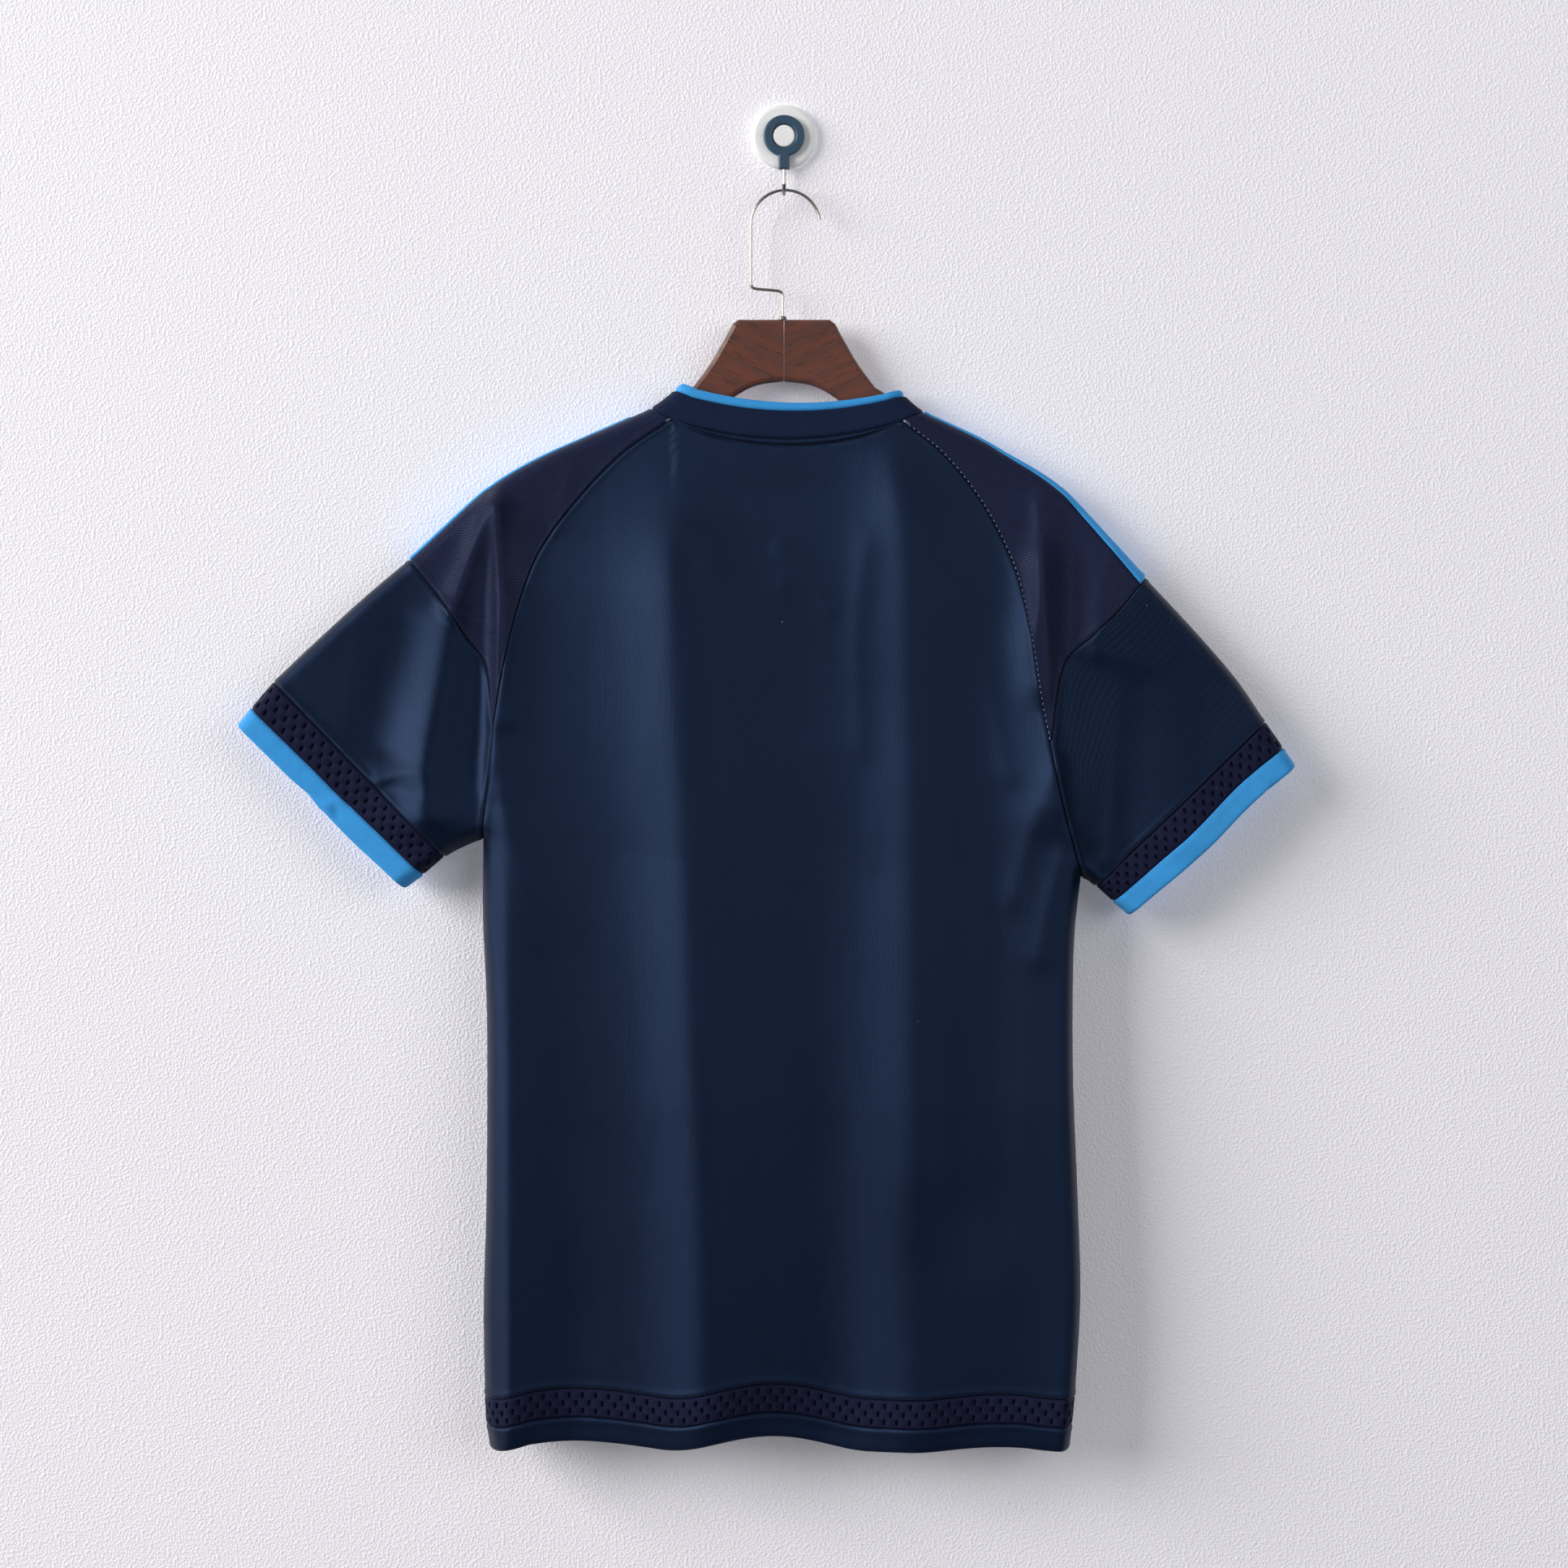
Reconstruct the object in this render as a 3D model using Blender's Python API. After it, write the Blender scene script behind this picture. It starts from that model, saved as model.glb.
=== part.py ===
"""A short-sleeved football jersey on a wooden hanger, hung from a round wall hook, back to the viewer.

The wall is the plane y = 0 and the origin is the middle of the hook's plate on it. Z is up, and the jersey's back
faces -Y. Sizes are in millimetres and become metres where a mesh is made.

The cloth is one flattened tube of three branches, body and two sleeves. Its outline (closed edges) is drawn in the
XZ plane. A point of the back or front layer stands off the middle plane by the half depth of its height plus the
folds that cross it, and both layers round over to meet along the closed edges.
"""

import math

import bmesh
import bpy
import numpy as np

BACK = -1
FRONT = 1
LEFT = "left"
RIGHT = "right"

# Cloth
KNIT_THICK = 1.5
RIB_THICK = 2.0
TRIM_THICK = 1.8
SEAM_GAP = 0.3
EDGE_ROUND = 14.0
STRIPE_LIFT = 0.35
STRIPE_BACK_STEPS = {LEFT: 1, RIGHT: 3}
STRIPE_FRONT_STEPS = 5
STRIPE_THICK = 0.9

# Height, distance of the middle plane from the wall, and half depth of the tube there
SECTIONS = (
    # z,    y_mid, half_depth
    (-180, -18.0, 14.0),
    (-260, -19.0, 14.0),
    (-330, -23.0, 15.0),
    (-500, -31.0, 17.0),
    (-700, -37.0, 20.0),
    (-950, -41.0, 22.0),
)

# Closed edges and seams of each side in the XZ plane, from the first name to the second
SHOULDER_LINE = {
    LEFT: ((-96, -199), (-144, -220), (-171, -232), (-194, -244), (-211, -255), (-226, -267), (-270, -308)),
    RIGHT: ((101, -202), (140, -220), (161, -232), (182, -244), (198, -255), (212, -268), (260, -321)),
}
SLEEVE_TOP = {
    LEFT: ((-270, -308), (-303, -336), (-341, -371), (-367, -396)),
    RIGHT: ((260, -321), (296, -360), (325, -394), (346, -425)),
}
SLEEVE_UNDER = {
    LEFT: ((-216, -509), (-230, -515), (-244, -522)),
    RIGHT: ((213, -536), (218, -539), (224, -543)),
}
RAGLAN_SEAM = {
    LEFT: ((-81, -208), (-118, -234), (-152, -270), (-177, -306), (-191, -345), (-201, -389), (-208, -429)),
    RIGHT: ((85, -209), (115, -233), (144, -270), (166, -316), (177, -365), (183, -405), (190, -441)),
}
SLEEVE_SEAM = {
    LEFT: ((-270, -308), (-244, -340), (-227, -365), (-213, -386), (-208, -429)),
    RIGHT: ((260, -321), (242, -344), (222, -363), (200, -386), (190, -441)),
}
UNDERARM_SEAM = {
    LEFT: ((-208, -429), (-211, -464), (-216, -509)),
    RIGHT: ((190, -441), (199, -485), (213, -536)),
}
SIDE_SEAM = {
    LEFT: ((-216, -509), (-216, -568), (-213, -640), (-213, -760), (-215, -840), (-214, -906)),
    RIGHT: ((213, -536), (208, -586), (207, -673), (210, -760), (212, -835), (208, -906)),
}

# Bands across the hem and the sleeve ends: (edge on the upper side, edge on the lower side) in the XZ plane
HEM_MESH_END = {LEFT: (-213, -926), RIGHT: (206, -926)}
HEM_END = {LEFT: (-210, -943), RIGHT: (204, -943)}
SLEEVE_MESH_END = {LEFT: ((-383, -415), (-259, -535)), RIGHT: ((359, -444), (236, -554))}
CUFF_END = {LEFT: ((-393, -427), (-272, -545)), RIGHT: ((368, -457), (247, -564))}

# The hem line lifts where the cloth falls back between two folds
HEM_LIFTS = (
    # x, half_width, rise
    (-118, 84, 3.0),
    (-12, 80, 6.0),
)

# Collar, from the neck seam up: its folded sides, and how far its middle lies below them
COLLAR_TOP = {LEFT: (-79, -186), RIGHT: (87, -190)}
TRIM_TOP = {LEFT: (-74, -181), RIGHT: (84, -186)}
NECK_DROP = {BACK: 13.0, FRONT: 80.0}
COLLAR_DROP = {BACK: 14.0, FRONT: 78.0}
TRIM_DROP = {BACK: 12.5, FRONT: 76.0}

# Folds: a ridge (height over 0) or a trough along a line from start to end, of a half width at each end
FOLDS = (
    # layer, x_start, z_start, x_end, z_end, width_start, width_end, height_start, height_end
    (BACK, -190, -520, -190, -960, 26, 28, 4, 10),
    (BACK, -142, -420, -145, -960, 30, 34, -5, -12),
    (BACK, -90, -250, -66, -960, 42, 38, 5, 16),
    (BACK, -18, -330, -12, -960, 44, 42, -5, -16),
    (BACK, 82, -260, 88, -960, 40, 46, 5, 15),
    (BACK, 138, -430, 142, -960, 30, 34, -5, -12),
    (BACK, 186, -500, 184, -960, 26, 30, 4, 10),
    (BACK, -208, -272, -207, -430, 7, 12, 3, 5),
    (BACK, -216, -272, -246, -335, 7, 13, 3, 4),
    (BACK, -245, -350, -290, -480, 14, 26, 5, 6),
    (BACK, -236, -400, -232, -505, 16, 16, -6, -6),
    (BACK, 250, -380, 236, -520, 20, 26, -4, -6),
    (BACK, 300, -400, 290, -500, 22, 28, 3, 4),
    (BACK, 205, -285, 188, -400, 10, 14, 2, 4),
    (FRONT, -120, -420, -125, -960, 36, 42, 3, 7),
    (FRONT, -30, -360, -34, -960, 40, 46, -3, -7),
    (FRONT, 60, -380, 66, -960, 36, 42, 3, 7),
    (FRONT, 150, -440, 152, -960, 34, 38, -3, -6),
)
FOLD_FADE = 0.12
ON_EDGE = 0.01

# Spacing of the sections: distances of the first ones from a closed edge, and how many steps lie between
EDGE_STEPS = (0, 1, 4, 9, 15)
RAGLAN_STEPS = 7
PANEL_STEPS = 4
UNDERARM_STEPS = 2
BODY_STEPS = 8
SLEEVE_STEPS = 5
ACROSS_STEPS = {BACK: 15, FRONT: 10}
BODY_WIDTH = 426.0
SLEEVE_MESH_STEPS = 1
CUFF_STEPS = 2
HEM_STEPS = 2
COLLAR_STEPS = 2

# Hanger and wall hook
HANGER_Y = -18.0
HANGER_THICK = 12.0
HANGER_BEVEL = 3.0
HANGER_UNDER_CLOTH = 3.0
HANGER_ARM = 34.0
HANGER_TIP = 22.0
HANGER_ARM_STEPS = 9
HANGER_TIP_STEPS = 6
HANGER_NECK = ((33, -135), (37, -138), (44, -151), (54, -168), (66, -184))
HANGER_TIP_BACK = 10.0
HANGER_ARCH = ((0, -179), (20, -182), (37, -191), (58, -208))
FERRULE_R = 3.2
FERRULE_TOP_R = 2.6
FERRULE_HIGH = 2.4
FERRULE_SIDES = 16
WIRE_R = 1.1
HOOK_STEM = ((-1, -132), (-1, -114), (-24, -112), (-24, -66))
HOOK_CORNER_R = 4.0
HOOK_BEND = (1, -66)
HOOK_BEND_R = 25.0
HOOK_END_ANGLE = 8.0
HOOK_BEND_STEPS = 20
PLATE_R = 23.5
PLATE_THICK = 6.0
PLATE_BEVEL = 2.4
RING_R = 15.0
RING_IN_R = 8.5
RING_THICK = 4.5
BUTTON_R = 8.1
BUTTON_THICK = 3.4
SMALL_BEVEL = 1.2
TAB_HALF = 4.0
TAB_END_Z = -24.4
PEG_R = 1.4
PEG_Y = -9.0
PEG_BEND_R = 9.0
PEG_END_ANGLE = 156.0
PEG_STEPS = 12
DISC_SIDES = 36

COLOURS = {
    # name: (red, green, blue, roughness, metallic)
    "satin_navy": (0.010, 0.020, 0.048, 0.55, 0.0),
    "mesh_navy": (0.012, 0.014, 0.038, 0.75, 0.0),
    "rib_navy": (0.010, 0.018, 0.042, 0.85, 0.0),
    "sky_blue": (0.060, 0.290, 0.680, 0.80, 0.0),
    "walnut": (0.105, 0.032, 0.018, 0.40, 0.0),
    "steel": (0.550, 0.540, 0.520, 0.30, 1.0),
    "white_plastic": (0.880, 0.870, 0.880, 0.35, 0.0),
    "teal_plastic": (0.025, 0.095, 0.155, 0.45, 0.0),
}


def clear_scene():
    for thing in list(bpy.data.objects):
        bpy.data.objects.remove(thing)


def material(name):
    red, green, blue, roughness, metallic = COLOURS[name]
    finish = bpy.data.materials.get(name) or bpy.data.materials.new(name)
    finish.use_nodes = True
    shader = finish.node_tree.nodes["Principled BSDF"]
    shader.inputs["Base Color"].default_value = (red, green, blue, 1)
    shader.inputs["Roughness"].default_value = roughness
    shader.inputs["Metallic"].default_value = metallic
    return finish


def smooth_line(corners, per_span=24):
    """A Catmull-Rom curve through the corners, as many short straight steps."""
    points = np.array(corners, float)
    if len(points) == 2:
        return points
    ends = np.vstack([2 * points[0] - points[1], points, 2 * points[-1] - points[-2]])
    line = []
    for before, start, end, after in zip(ends, ends[1:], ends[2:], ends[3:]):
        for t in np.arange(per_span) / per_span:
            line.append(
                0.5 * (2 * start + (end - before) * t + (2 * before - 5 * start + 4 * end - after) * t**2
                       + (3 * start - before - 3 * end + after) * t**3)
            )
    return np.array(line + [points[-1]])


def along(line, shares):
    """Points of a line at these shares of its length."""
    steps = np.linalg.norm(np.diff(line, axis=0), axis=1)
    reached = np.concatenate([[0], np.cumsum(steps)])
    return np.column_stack([np.interp(np.array(shares) * reached[-1], reached, line[:, k]) for k in (0, 1)])


def length_of(line):
    return float(np.linalg.norm(np.diff(line, axis=0), axis=1).sum())


def even(steps):
    return np.linspace(0, 1, steps + 1)


def panel_shares():
    """Shares across a panel between two closed edges, close together where the cloth rounds over."""
    shares = {}
    for layer, steps in ACROSS_STEPS.items():
        near = np.array(EDGE_STEPS) / BODY_WIDTH
        middle = np.linspace(near[-1], 1 - near[-1], steps + 1)
        shares[layer] = np.concatenate([near[:-1], middle, 1 - near[:-1][::-1]])
    return shares


def armhole_shares(side):
    """Shares along the sleeve seam from the shoulder to its low tip, and on along the underarm seam."""
    seam = length_of(smooth_line(SLEEVE_SEAM[side]))
    under = length_of(smooth_line(UNDERARM_SEAM[side]))
    near = np.array(EDGE_STEPS, float)
    upper = np.concatenate([near[:-1], np.linspace(near[-1], seam, PANEL_STEPS + 1)]) / seam
    lower = np.concatenate([np.linspace(0, under - near[-1], UNDERARM_STEPS + 1), under - near[:-1][::-1]]) / under
    return upper, lower


def side_lines(side):
    """The points of every closed edge and seam of one side that the pieces share."""
    upper, lower = armhole_shares(side)
    raglan = along(smooth_line(RAGLAN_SEAM[side]), even(RAGLAN_STEPS))
    lines = {
        "raglan": raglan,
        "neck_end": along(np.array([SHOULDER_LINE[side][0], RAGLAN_SEAM[side][0]], float), upper),
        "shoulder": along(smooth_line(SHOULDER_LINE[side]), even(RAGLAN_STEPS)),
        "sleeve_seam": along(smooth_line(SLEEVE_SEAM[side]), upper),
        "underarm": along(smooth_line(UNDERARM_SEAM[side]), lower),
        "sleeve_top": along(smooth_line(SLEEVE_TOP[side]), even(SLEEVE_STEPS)),
        "sleeve_under": along(smooth_line(SLEEVE_UNDER[side]), even(SLEEVE_STEPS)),
        "side_seam": along(smooth_line(SIDE_SEAM[side]), even(BODY_STEPS)),
    }
    lines["armhole"] = np.vstack([lines["sleeve_seam"], lines["underarm"][1:]])
    hem_mesh, hem = np.array(HEM_MESH_END[side], float), np.array(HEM_END[side], float)
    mesh_top, mesh_under = np.array(SLEEVE_MESH_END[side], float)
    cuff_top, cuff_under = np.array(CUFF_END[side], float)
    collar, trim = np.array(COLLAR_TOP[side], float), np.array(TRIM_TOP[side], float)
    lines["collar_side"] = along(np.array([collar, SHOULDER_LINE[side][0]]), even(COLLAR_STEPS))
    lines["hem_side"] = along(np.array([hem_mesh, hem]), even(HEM_STEPS))
    lines["cuff_top"] = along(np.array([mesh_top, cuff_top]), even(CUFF_STEPS))
    lines["cuff_under"] = along(np.array([mesh_under, cuff_under]), even(CUFF_STEPS))
    top_edge = [[trim], lines["collar_side"], lines["shoulder"][1:], lines["sleeve_top"][1:], lines["cuff_top"]]
    under_edge = [lines["cuff_under"][::-1], lines["sleeve_under"][::-1], lines["side_seam"][1:], lines["hem_side"]]
    lines["closed_edges"] = (np.vstack(top_edge), np.vstack(under_edge))
    return lines


class Outline:
    """The closed edges of the cloth tube, for the distance and direction from any point to the nearest of them."""

    def __init__(self, lines):
        starts, ends, corners, corner_normals = [], [], [], []
        for side, turn in ((LEFT, 1), (RIGHT, -1)):
            for edge in lines[side]["closed_edges"]:
                run = np.diff(edge, axis=0)
                run /= np.linalg.norm(run, axis=1)[:, None]
                inward = turn * np.column_stack([-run[:, 1], run[:, 0]])
                mitre = np.vstack([inward[:1], inward[:-1] + inward[1:], inward[-1:]])
                starts.append(edge[:-1])
                ends.append(edge[1:])
                corners.append(edge)
                corner_normals.append(mitre / np.linalg.norm(mitre, axis=1)[:, None])
        self.starts = np.vstack(starts)
        self.runs = np.vstack(ends) - self.starts
        self.run_squares = (self.runs**2).sum(1)
        self.corners = np.vstack(corners)
        self.corner_normals = np.vstack(corner_normals)

    def nearest(self, point):
        """(distance to the nearest closed edge, direction away from it into the cloth)."""
        share = np.clip(((point - self.starts) * self.runs).sum(1) / self.run_squares, 0, 1)
        gaps = point - (self.starts + share[:, None] * self.runs)
        distances = np.linalg.norm(gaps, axis=1)
        best = int(np.argmin(distances))
        if distances[best] > ON_EDGE:
            return float(distances[best]), gaps[best] / distances[best]
        corner = int(np.argmin(np.linalg.norm(self.corners - point, axis=1)))
        return 0.0, self.corner_normals[corner]


def fold_height(x, z, layer):
    """How far the folds push this point of a layer out from the middle plane."""
    total = 0.0
    for side, x0, z0, x1, z1, width0, width1, height0, height1 in FOLDS:
        if side != layer:
            continue
        run_x, run_z = x1 - x0, z1 - z0
        length = math.hypot(run_x, run_z)
        share = ((x - x0) * run_x + (z - z0) * run_z) / length**2
        off = ((x - x0) * run_z - (z - z0) * run_x) / length
        held = min(max(share, 0), 1)
        width = width0 + (width1 - width0) * held
        height = height0 + (height1 - height0) * held
        fade = smooth_step((share + FOLD_FADE / 2) / FOLD_FADE) * smooth_step((1 - share) / FOLD_FADE + 0.5)
        total += height * fade * math.exp(-((off / width) ** 2))
    return total


def smooth_step(share):
    held = min(max(share, 0), 1)
    return held * held * (3 - 2 * held)


def section(z):
    """(middle plane, half depth) of the cloth tube at this height."""
    levels = np.array(SECTIONS)[::-1]
    return float(np.interp(z, levels[:, 0], levels[:, 1])), float(np.interp(z, levels[:, 0], levels[:, 2]))


class Cloth:
    """Where a point of the outline's plane lies on the back or the front layer, and which way it faces."""

    def __init__(self, outline):
        self.outline = outline

    def reach(self, x, z, layer):
        return section(z)[1] + fold_height(x, z, layer)

    def place(self, x, z, layer):
        step = 1.0
        distance, inward = self.outline.nearest(np.array([x, z]))
        level = 1 - min(distance / EDGE_ROUND, 1)
        rise = math.sqrt(1 - level**2)
        reach = self.reach(x, z, layer)
        slope_x = (self.reach(x + step, z, layer) - self.reach(x - step, z, layer)) / (2 * step)
        slope_z = (self.reach(x, z + step, layer) - self.reach(x, z - step, layer)) / (2 * step)
        lean = (section(z + step)[0] - section(z - step)[0]) / (2 * step)
        across = reach * level / EDGE_ROUND
        facing = np.array(
            [
                -(slope_x * rise**2 + across * inward[0]),
                layer * rise,
                -(slope_z * rise**2 + across * inward[1]) - layer * lean * rise,
            ]
        )
        point = np.array([x, section(z)[0] + layer * reach * rise, z])
        return point, facing / np.linalg.norm(facing)


def surface(cloth, plan, layer):
    """Points and directions of a grid of plan points, on one layer."""
    points = np.zeros((len(plan), len(plan[0]), 3))
    facings = np.zeros_like(points)
    for i, row in enumerate(plan):
        for j, (x, z) in enumerate(row):
            points[i, j], facings[i, j] = cloth.place(x, z, layer)
    return points, facings


def tuck(points, facings, edges, closed=False):
    """Draws the named edges of a grid back by half a seam gap. Edges are first_row, last_row, first and last."""
    gap = SEAM_GAP / 2
    moved = points.copy()
    rows, columns = points.shape[:2]

    def along_row(i, j):
        before = (j - 1) % columns if closed else max(j - 1, 0)
        after = (j + 1) % columns if closed else min(j + 1, columns - 1)
        return points[i, after] - points[i, before]

    def along_column(i, j):
        return points[min(i + 1, rows - 1), j] - points[max(i - 1, 0), j]

    for i in range(rows):
        for j in range(columns):
            pulls = []
            if i == 0 and "first_row" in edges:
                pulls.append((along_row(i, j), along_column(i, j)))
            if i == rows - 1 and "last_row" in edges:
                pulls.append((along_row(i, j), -along_column(i, j)))
            if not closed and j == 0 and "first" in edges:
                pulls.append((along_column(i, j), along_row(i, j)))
            if not closed and j == columns - 1 and "last" in edges:
                pulls.append((along_column(i, j), -along_row(i, j)))
            inward = []
            for seam, into in pulls:
                pull = np.cross(facings[i, j], seam)
                pull /= np.linalg.norm(pull)
                inward.append(pull if pull @ into > 0 else -pull)
            if len(inward) == 1:
                moved[i, j] = points[i, j] + gap * inward[0]
            if len(inward) == 2:
                both = inward[0] + inward[1]
                moved[i, j] = points[i, j] + both * min(gap / max(1e-6, both @ inward[0]), 8 * gap)
    return moved


def wall(name, points, facings, finish, thick=KNIT_THICK, lift=0.0, closed=False):
    """A closed solid: the grid lifted off its surface, and the same grid one thickness further in."""
    rows, columns = points.shape[:2]
    outer = (points + facings * lift).reshape(-1, 3)
    inner = (points + facings * (lift - thick)).reshape(-1, 3)
    count = rows * columns
    spans = columns if closed else columns - 1
    faces = []
    for i in range(rows - 1):
        for j in range(spans):
            k = (j + 1) % columns
            quad = (i * columns + j, i * columns + k, (i + 1) * columns + k, (i + 1) * columns + j)
            faces.append(quad)
            faces.append(tuple(count + v for v in reversed(quad)))
    rims = [[i * columns + j for j in range(columns)] for i in (0, rows - 1)]
    if not closed:
        rims += [[i * columns + j for i in range(rows)] for j in (0, columns - 1)]
    for rim in rims:
        ring = closed and rim[1] - rim[0] == 1
        pairs = zip(rim, rim[1:] + rim[:1]) if ring else zip(rim, rim[1:])
        faces += [(a, b, count + b, count + a) for a, b in pairs]
    return solid(name, np.vstack([outer, inner]), faces, finish)


def solid(name, vertices, faces, finish, smooth=True):
    shape = bmesh.new()
    corners = [shape.verts.new(vertex / 1000) for vertex in np.array(vertices, float)]
    for face in faces:
        shape.faces.new([corners[v] for v in face])
    bmesh.ops.recalc_face_normals(shape, faces=shape.faces)
    mesh = bpy.data.meshes.new(name)
    shape.to_mesh(mesh)
    shape.free()
    thing = bpy.data.objects.new(name, mesh)
    bpy.context.scene.collection.objects.link(thing)
    mesh.materials.append(material(finish))
    if smooth:
        mesh.shade_smooth()
        mesh.set_sharp_from_angle(angle=math.radians(50))
    return thing


def ruled(first, last, shares):
    """Points, or whole rows of them, at these shares of the way from first to last."""
    return np.array([first + (last - first) * share for share in shares])


def blended(first_row, last_row, first_side, last_side, row_shares, column_shares):
    """A grid that meets all four of its border lines."""
    grid = np.zeros((len(row_shares), len(column_shares), 2))
    for i, v in enumerate(row_shares):
        for j, u in enumerate(column_shares):
            between_rows = (1 - v) * first_row[j] + v * last_row[j]
            between_sides = (1 - u) * first_side[i] + u * last_side[i]
            corners = (
                (1 - v) * ((1 - u) * first_row[0] + u * first_row[-1]) + v * ((1 - u) * last_row[0] + u * last_row[-1])
            )
            grid[i, j] = between_rows + between_sides - corners
    return grid


def shares_of(line):
    steps = np.linalg.norm(np.diff(line, axis=0), axis=1)
    return np.concatenate([[0], np.cumsum(steps)]) / steps.sum()


def hem_lift(x):
    return sum(rise * max(0, 1 - ((x - at) / half) ** 2) ** 2 for at, half, rise in HEM_LIFTS)


def dipped(left, right, shares, drop):
    """A line from left to right that hangs by drop in its middle."""
    line = ruled(left, right, shares)
    return np.array([[x, z - drop * (1 - (2 * u - 1) ** 2)] for (x, z), u in zip(line, shares)])


def raised(line):
    return np.array([[x, z + hem_lift(x)] for x, z in line])


def body_plan(lines, layer, shares):
    """Plan grid of the back or front panel, from the neck seam to the seam of the hem mesh."""
    sides = []
    for side in (LEFT, RIGHT):
        parts = lines[side]
        sides.append(np.vstack([parts["raglan"], parts["underarm"][1:], parts["side_seam"][1:]]))
    left, right = sides
    neck = dipped(left[0], right[0], shares, NECK_DROP[layer])
    hem = raised(ruled(left[-1], right[-1], shares))
    return blended(neck, hem, left, right, shares_of((left + right) / 2), shares)


def make_panels(cloth, lines):
    shares = panel_shares()
    for name, layer in (("back_panel", BACK), ("front_panel", FRONT)):
        points, facings = surface(cloth, body_plan(lines, layer, shares[layer]), layer)
        points = tuck(points, facings, ("first_row", "last_row", "first", "last"))
        wall(name, points, facings, "satin_navy")


def make_shoulders(cloth, lines, side):
    """The shoulder panel, from its back raglan seam over the shoulder line to its front one, and the strip on it."""
    parts = lines[side]
    upper, _ = armhole_shares(side)
    plan = blended(parts["neck_end"], parts["sleeve_seam"], parts["shoulder"], parts["raglan"],
                   even(RAGLAN_STEPS), upper)
    back_points, back_facings = surface(cloth, plan[:, ::-1], BACK)
    front_points, front_facings = surface(cloth, plan[:, 1:], FRONT)
    points = np.concatenate([back_points, front_points], axis=1)
    facings = np.concatenate([back_facings, front_facings], axis=1)
    points = tuck(points, facings, ("first_row", "last_row", "first", "last"))
    wall(f"shoulder_panel_{side}", points, facings, "mesh_navy")
    ridge = len(upper) - 1
    strip = slice(ridge - STRIPE_BACK_STEPS[side], ridge + STRIPE_FRONT_STEPS + 1)
    wall(f"shoulder_strip_{side}", points[:, strip], facings[:, strip], "sky_blue",
         thick=STRIPE_THICK, lift=STRIPE_LIFT + STRIPE_THICK)


def tube(cloth, plan):
    """Points and directions round a tube, from the plan of one half, whose first and last columns are closed edges."""
    back_points, back_facings = surface(cloth, plan, BACK)
    front_points, front_facings = surface(cloth, plan[:, -2:0:-1], FRONT)
    return (
        np.concatenate([back_points, front_points], axis=1),
        np.concatenate([back_facings, front_facings], axis=1),
    )


def make_sleeve(cloth, lines, side):
    parts = lines[side]
    shares = shares_of(parts["armhole"])
    band = ruled(parts["sleeve_top"][-1], parts["sleeve_under"][-1], shares)
    mesh_end = ruled(*np.array(SLEEVE_MESH_END[side], float), shares)
    cuff_end = ruled(*np.array(CUFF_END[side], float), shares)
    plans = (
        # name, plan of one half, finish, thickness, seams
        ("sleeve", blended(parts["armhole"], band, parts["sleeve_top"], parts["sleeve_under"],
                           even(SLEEVE_STEPS), shares), "satin_navy", KNIT_THICK, ("first_row", "last_row")),
        ("sleeve_mesh", ruled(band, mesh_end, even(SLEEVE_MESH_STEPS)), "mesh_navy", KNIT_THICK,
         ("first_row", "last_row")),
        ("cuff", ruled(mesh_end, cuff_end, even(CUFF_STEPS)), "sky_blue", RIB_THICK, ("first_row",)),
    )
    for name, plan, finish, thick, seams in plans:
        points, facings = tube(cloth, plan)
        points = tuck(points, facings, seams, closed=True)
        wall(f"{name}_{side}", points, facings, finish, thick=thick, closed=True)


def make_hem(cloth, lines):
    """The eyelet band and the plain band below it, each in a back and a front half that meet at the side seams."""
    for name, layer in (("back", BACK), ("front", FRONT)):
        shares = panel_shares()[layer]
        levels = [raised(ruled(*(lines[side]["side_seam"][-1] for side in (LEFT, RIGHT)), shares))]
        for ends in (HEM_MESH_END, HEM_END):
            levels.append(raised(ruled(*(np.array(ends[side], float) for side in (LEFT, RIGHT)), shares)))
        bands = (
            ("hem_mesh", ruled(levels[0], levels[1], even(1)), "mesh_navy", ("first_row", "last_row", "first", "last")),
            ("hem_band", ruled(levels[1], levels[2], even(HEM_STEPS)), "satin_navy", ("first_row", "first", "last")),
        )
        for band, plan, finish, seams in bands:
            points, facings = surface(cloth, plan, layer)
            points = tuck(points, facings, seams)
            wall(f"{band}_{name}", points, facings, finish, thick=KNIT_THICK)


def neck_line(lines, layer):
    """The neck seam of one layer, from the left shoulder line to the right one."""
    shares = panel_shares()[layer]
    left, right = lines[LEFT], lines[RIGHT]
    middle = dipped(left["raglan"][0], right["raglan"][0], shares, NECK_DROP[layer])
    return np.vstack([left["neck_end"][:-1], middle, right["neck_end"][-2::-1]])


def neck_level(seam, ends, drop):
    """A line above the neck seam that hangs as it does, by drop, from one folded side to the other."""
    across = (seam[:, 0] - seam[0, 0]) / (seam[-1, 0] - seam[0, 0])
    chord = ruled(seam[0], seam[-1], across)
    hang = (chord[:, 1] - seam[:, 1]) / (chord[:, 1] - seam[:, 1]).max()
    left, right = (np.array(ends[side], float) for side in (LEFT, RIGHT))
    level = ruled(left, right, across)
    level[:, 1] -= drop * hang
    return level


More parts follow.
